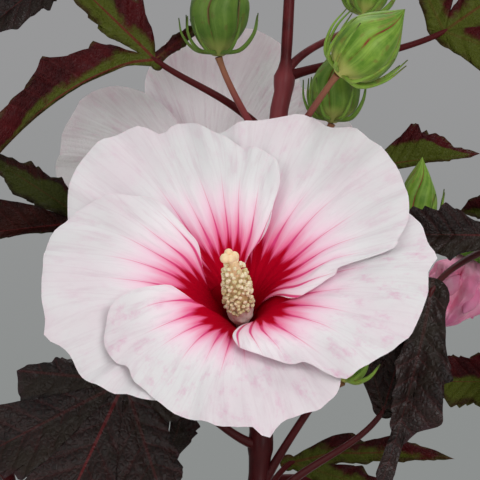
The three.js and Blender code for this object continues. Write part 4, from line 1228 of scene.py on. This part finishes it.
def addBuds():
    look = budShape
    for seed, (name, (stem, height, base, axis, length, radius, reach, *more)) in enumerate(buds.items()):
        bow, tall, belly, shade = more or plainBud
        arriving = 0.5 * unit(axis) + unit(np.array(base) - stemAt(stem, height))
        growPedicel(stem, height, base, arriving, look["stalkTip"], bow=bow)
        patches = closedSepals(length, radius, seed, belly)
        out = radius + look["bractGap"]
        patches += bracts(look["bracts"], look["bractFoot"], out, tall * length, reach, wander=0.2)
        # painted shade: the whole bud is painted a darker green, by how much shade it sits in
        for patch in patches:
            patch["sun"] = np.full(patch["points"].shape[:2], float(shade))
        patches = placed(patches, axisFrame(base, axis))
        addPiece(pieceName("bud", name), patches, "bud", ["bud_" + name], sharp=60)


# What repeats over a surface: stamens on the column, chips on the soil. Points are spread over a bed
# mesh, a lumpy grain stands on each, and the whole becomes one plain mesh.

def scatterTree(stalked):
    nodes, given, out = newGroup("scatter", {
        "Bed": "Geometry", "Spacing": "Float", "Smallest": "Vector", "Largest": "Vector", "Tilt": "Float",
        "Lump": "Float", "LumpScale": "Float", "Stalk": "Float", "Seed": "Int", "Finish": "Material",
    }, {"Grains": "Geometry"}, "GeometryNodeTree")

    def vectorMath(operation, inputs):
        return nodes.value("ShaderNodeVectorMath", inputs, operation=operation)

    spread = nodes.add("GeometryNodeDistributePointsOnFaces", {
        "Mesh": given["Bed"], "Distance Min": given["Spacing"], "Density Max": 5e5, "Seed": given["Seed"],
    }, distribute_method="POISSON")
    size = nodes.value("FunctionNodeRandomValue", {
        0: given["Smallest"], 1: given["Largest"], "Seed": given["Seed"]}, data_type="FLOAT_VECTOR")
    tip = nodes.vector(given["Tilt"], given["Tilt"], 6.283)
    back = vectorMath("MULTIPLY", {0: tip, 1: (-1.0, -1.0, 0.0)})
    turn = nodes.value("FunctionNodeRandomValue", {0: back, 1: tip}, data_type="FLOAT_VECTOR")

    grain = nodes.value("GeometryNodeMeshIcoSphere", {"Radius": 1.0, "Subdivisions": 2}, "Mesh")
    if stalked:
        up = nodes.vector(0.0, 0.0, given["Stalk"])
        grain = nodes.value("GeometryNodeTransform", {"Geometry": grain, "Translation": up})
        thread = nodes.value("GeometryNodeMeshCylinder", {
            "Vertices": 6, "Radius": 0.2, "Depth": given["Stalk"]})
        half = vectorMath("MULTIPLY", {0: up, 1: (0.5, 0.5, 0.5)})
        thread = nodes.value("GeometryNodeTransform", {"Geometry": thread, "Translation": half})
        joined = nodes.add("GeometryNodeJoinGeometry")
        for part in (grain, thread):
            nodes.feed(joined.inputs[0], part)
        grain = joined.outputs[0]
    asTurn = nodes.value("FunctionNodeEulerToRotation", {0: turn})
    spun = nodes.value("FunctionNodeRotateRotation", {0: spread.outputs["Rotation"], 1: asTurn},
                       rotation_space="LOCAL")
    stand = nodes.value("GeometryNodeInstanceOnPoints", {
        "Points": spread.outputs["Points"], "Instance": grain, "Scale": size, "Rotation": spun})
    chance = nodes.value("FunctionNodeRandomValue", output=1, data_type="FLOAT")
    kept = nodes.value("GeometryNodeStoreNamedAttribute", {
        "Geometry": stand, "Name": "shade", "Value": chance}, data_type="FLOAT", domain="INSTANCE")
    real = nodes.value("GeometryNodeRealizeInstances", {"Geometry": kept})
    lumps = nodes.value("ShaderNodeTexNoise", {"Scale": given["LumpScale"], "Detail": 2.0}, "Color")
    middle = vectorMath("SUBTRACT", {0: lumps, 1: (0.5, 0.5, 0.5)})
    push = vectorMath("SCALE", {0: middle, "Scale": given["Lump"]})
    lumpy = nodes.value("GeometryNodeSetPosition", {"Geometry": real, "Offset": push})
    finished = nodes.value("GeometryNodeSetMaterial", {"Geometry": lumpy, "Material": given["Finish"]})
    nodes.feed(out["Grains"], finished)
    return nodes.tree


scatterTrees = {True: scatterTree(True), False: scatterTree(False)}
grainLengths = ("Spacing", "Smallest", "Largest", "Lump")   # in millimetres; a stalk is in radii of its grain


def scatter(name, patches, finish, sizes):
    bed = linked(bpy.data.objects.new(name + "Bed", meshOf(name + "Bed", patches)))
    tree = scatterTrees["Stalk" in sizes]      # grains whose sizes name a stalk stand on one
    grower = bed.modifiers.new("scatter", "NODES")
    grower.node_group = tree
    sockets = {item.name: item.identifier for item in tree.interface.items_tree if item.in_out == "INPUT"}
    for label, value in {**sizes, "Finish": materials[finish]}.items():
        if label in grainLengths:
            value = (np.array(value) * mm).tolist()
        grower[sockets[label]] = value
    mesh = bakedMesh(bed)
    made = linked(bpy.data.objects.new(name, mesh))
    bpy.data.objects.remove(bed)
    mesh.name = name
    mesh.shade_smooth()
    keepPiece(made)


# The staminal column: a slender core, stamens all round it, and five stigmas at its end

columnShape = {
    "core": [(0, -7.6), (2.8, -7.6), (2.6, -2), (3.2, 4), (5.6, 9), (6.3, 12), (5.4, 19), (5.2, 28),
             (4.4, 38), (3.4, 45), (2.1, 51), (1.6, 54), (0, 55)],
    "bed": [(4.9, 19), (5.3, 22), (5.2, 29), (4.5, 38), (3.5, 46), (2.6, 50), (1.8, 52)],
    "stigmas": [(-3.4, 1.0, 54.6), (-1.8, 2.4, 56.6), (0.7, 1.2, 55.6), (-0.8, -1.6, 57.6),
                (-3.3, -1.7, 58.4)],
    "stigmaRadius": 2.1,
    "stamens": {"Spacing": 1.6, "Smallest": (0.9, 0.8, 0.8), "Largest": (1.35, 1.1, 1.1), "Tilt": 0.5,
                "Lump": 0.6, "LumpScale": 700.0, "Stalk": 1.6},
}


def ball(place, radius, sides=14):
    angle = np.linspace(0, np.pi, sides)
    profile = np.stack([radius * np.sin(angle), -radius * np.cos(angle)], -1)
    return moved(turned(profile, sides + 4, along=(0.8, 0.9)), place)


def addColumn(name, place, seed):
    core = evenly(columnShape["core"], 60, corners=True)
    patches = [turned(core, 40, lambda angle, z: 1 + 0.03 * np.sin(7 * angle + z))]
    for k, tip in enumerate(columnShape["stigmas"]):
        patches.append(ball(tip, columnShape["stigmaRadius"] + 0.25 * np.sin(3 * k + seed)))
    addPiece(name + "Column", placed(patches, place), "column", ["bloom_" + name + "_column"])
    bed = turned(evenly(columnShape["bed"], 20, corners=True), 32)
    sizes = {**columnShape["stamens"], "Seed": seed}
    scatter(name + "Stamens", placed([bed], place), "pollen", sizes)


def addBlooms():
    for seed, (name, bloom) in enumerate(blooms.items()):
        place = axisFrame(bloom["throat"], bloom["axis"], bloom["side"])
        foot = np.array(bloom["throat"]) - sepalShape["stalkEnd"] * unit(bloom["axis"])
        growPedicel(bloom["stem"], bloom["height"], foot, bloom["axis"], sepalShape["stalkTip"], green=0.8)
        addPetals(name, bloom, place)
        addColumn(name, place, seed + 3)
        calyx = placed(openCalyx(), place)
        addPiece(name + "Calyx", calyx, "bud", ["bloom_" + name + "_calyx"], sharp=60)
        print("bloom:", name)


# The spent bloom: pleats that twist as they close, with ragged tips

spentBloom = {
    "throat": (122, 36, 517), "axis": (-0.45, -0.1, -0.88), "stem": "right", "height": 514,
    "length": 46, "radius": 13, "pleat": 0.28, "rows": 56, "columns": 100,
    "neck": [(0, 1), (3, 1), (5, 2.2), (5.6, 5), (7.2, 9)],
    "places": [0.35, 0.42, 0.5, 0.58, 0.65, 0.73, 0.8, 0.87, 0.93, 0.97],   # along the length
    "tip": [(8, 0, 20), (12, 0.3, 29), (14.5, 0.5, 36)],                    # radius, turn and height
    "cup": [(0, -9.7), (2.6, -9.7), (7, -5), (9, 2), (10.5, 9), (9.6, 9), (8, 2.4), (5, 0.5), (0, 0.5)],
    "bracts": {"count": 7, "foot": -7, "out": 12, "tall": 16, "spread": 4},
    "stalkEnd": 9.9, "stalkTip": 2.3,
}


def furledPetals():
    look = spentBloom
    swell = [(look["radius"] * np.sin(np.pi * k) ** 0.6, look["length"] * k) for k in look["places"]]
    profile = throughPoints([*look["neck"], *swell, (0, look["length"])], look["rows"])
    profile = np.clip(profile, 0, None)
    profile[[0, -1], 0] = 0

    def folds(angle, z):
        depth = look["pleat"] * smoothStep(z, 7, 20)
        main = np.cos(5 * angle + 0.05 * z + 0.5 * np.sin(0.2 * z))
        small = 0.09 * np.cos(13 * angle - 0.12 * z) + 0.06 * np.sin(21 * angle + 0.2 * z)
        return 1 + depth * main + small * smoothStep(z, 8, 16) + 0.04 * np.sin(0.7 * z + 3 * angle)

    return [turned(profile, look["columns"], folds)]


def addSpentBloom():
    look = spentBloom
    place = axisFrame(look["throat"], look["axis"])
    foot = np.array(look["throat"]) - look["stalkEnd"] * unit(look["axis"])
    growPedicel(look["stem"], look["height"], foot, look["axis"], look["stalkTip"], green=0.3)
    patches = furledPetals()
    thick = 4.6 * np.sin(np.linspace(0.5, 3.05, 14))
    for k in range(5):
        # the petals' free tips stick out past the twist
        turn = k * fullTurn / 5 + 0.5
        path = np.array([aroundZ(r, turn + ahead, z) for r, ahead, z in look["tip"]])
        path[-1, 2] += 3 * np.sin(3 * k)
        patches.append(tube(throughPoints(path, 14), thick, 14, along=(0.5, 0.95)))
    corolla = placed(patches, place)
    addPiece("spentCorolla", corolla, "spent", ["bloom_spent_corolla"], sharp=60)

    def fluted(angle, z):
        return 1 + 0.05 * np.cos(5 * angle) * smoothStep(z, -6, 4)

    calyx = [turned(evenly(look["cup"], 36, corners=True), 60, fluted, along=(0.05, 0.6))]
    calyx += bracts(**look["bracts"])
    addPiece("spentCalyx", placed(calyx, place), "bud", ["bloom_spent_calyx"], sharp=60)


# Pot and soil

potShape = {"height": 190, "footRadius": 82, "rimRadius": 115, "lip": 4, "wall": 3, "sides": 120, "sharp": 40,
            "holes": 8, "holeRing": 56, "holeRadius": 6, "holeReach": 9, "lines": (14, 148)}
soilShape = {"low": 3.8, "top": 168, "mound": 6, "sides": 90, "rings": 44, "inset": 3.3}
soilGrains = {
    "barkChips": ("bark", {
        "Spacing": 4.6, "Smallest": (1.8, 1.4, 0.8), "Largest": (5.2, 3.6, 2.2), "Tilt": 0.5,
        "Lump": 3.0, "LumpScale": 230.0, "Seed": 7}),
    "perliteGrains": ("perlite", {
        "Spacing": 19.0, "Smallest": (0.9, 0.9, 0.8), "Largest": (2.0, 2.0, 1.6), "Tilt": 0.5,
        "Lump": 1.2, "LumpScale": 400.0, "Seed": 11}),
}


def potRadius(z):
    foot = potShape["footRadius"]
    return foot + (potShape["rimRadius"] - potShape["lip"] - foot) * z / potShape["height"]


def potOutline():
    wall, rim, top = potShape["wall"], potShape["rimRadius"], potShape["height"]
    outline = [(0, 1.2), (60, 1.2), (64, 0), (77.5, 0), (79.6, 0.5), (81.6, 1.9), (potRadius(4), 4)]
    for ring in potShape["lines"]:
        # a slim moulded line
        outline += [(potRadius(ring - 1.2), ring - 1.2), (potRadius(ring) + 0.5, ring - 0.5),
                    (potRadius(ring) + 0.5, ring + 0.5), (potRadius(ring + 1.2), ring + 1.2)]
    outline += [(potRadius(173), 173), (112.4, 173.6), (114, 174), (114.8, 174.8), (rim, 176), (rim, 187.6),
                (114.5, 189.2), (113, top), (potRadius(top) - wall + 1, top), (potRadius(top) - wall, 189)]
    return outline + [(potRadius(3.5) - wall + 2, 6.5), (potRadius(3.5) - wall - 1, 4), (0, 3.5)]


def addPot():
    name, sharp = "mouldedPot", potShape["sharp"]
    made = solidOf(name, [turned(potOutline(), potShape["sides"])], sharp, "pot")
    radius, reach = potShape["holeRadius"], potShape["holeReach"]
    plugs = []
    for k in range(potShape["holes"]):
        turn = (k + 0.5) * fullTurn / potShape["holes"]
        plug = turned([(0, -reach), (radius, -reach), (radius, reach), (0, reach)], 32)
        plugs.append(moved(plug, aroundZ(potShape["holeRing"], turn, 0)))
    cutter = solidOf("plugs", plugs, sharp)
    holes = made.modifiers.new("holes", "BOOLEAN")
    holes.operation = "DIFFERENCE"
    holes.object = cutter
    holed = bakedMesh(made)
    made.modifiers.clear()
    made.data = holed
    bpy.data.objects.remove(cutter)
    holed.name = name
    holed.shade_smooth()
    holed.set_sharp_from_angle(angle=np.radians(sharp))
    keepPiece(made, ["pot"])


def addSoil():
    low, top = soilShape["low"], soilShape["top"]
    edge = potRadius(top) - soilShape["inset"]
    angle = np.linspace(0, fullTurn, soilShape["sides"] + 1)[None, :]

    def surface(r):
        mound = top + soilShape["mound"] * (1 - smoothStep(r, 20, edge))
        lumps = 1.1 * np.sin(0.16 * r * np.cos(angle) + 1) * np.sin(0.13 * r * np.sin(angle) + 2)
        return mound + lumps * (1 - smoothStep(r, edge - 8, edge)) - 1.2

    r = np.linspace(edge, 0, soilShape["rings"])[:, None]
    foot = aroundZ(np.array([[0], [potRadius(low) - 3.6]]), angle, low)
    points = np.concatenate([foot, aroundZ(r, angle, surface(r))])
    uv = gridOf(angle / fullTurn, np.linspace(0, 1, len(points))[:, None])
    addPiece("soilBed", [{"points": points, "uv": uv}], "bark", ["soil"])

    r = np.linspace(edge - 3, 6, soilShape["rings"])[:, None]
    bed = aroundZ(r, angle, surface(r) - 0.2)[:, ::-1]
    patch = {"points": bed, "uv": np.zeros(bed.shape[:2] + (2,))}
    for name, (finish, sizes) in soilGrains.items():
        scatter(name, [patch], finish, sizes)


growLeaves()
print("leaves:", leafCount)
addBlooms()
addBuds()
addSpentBloom()
addStems()
print("blooms, buds and stems are in place")
addPot()
addSoil()
print("pot and soil are in place")
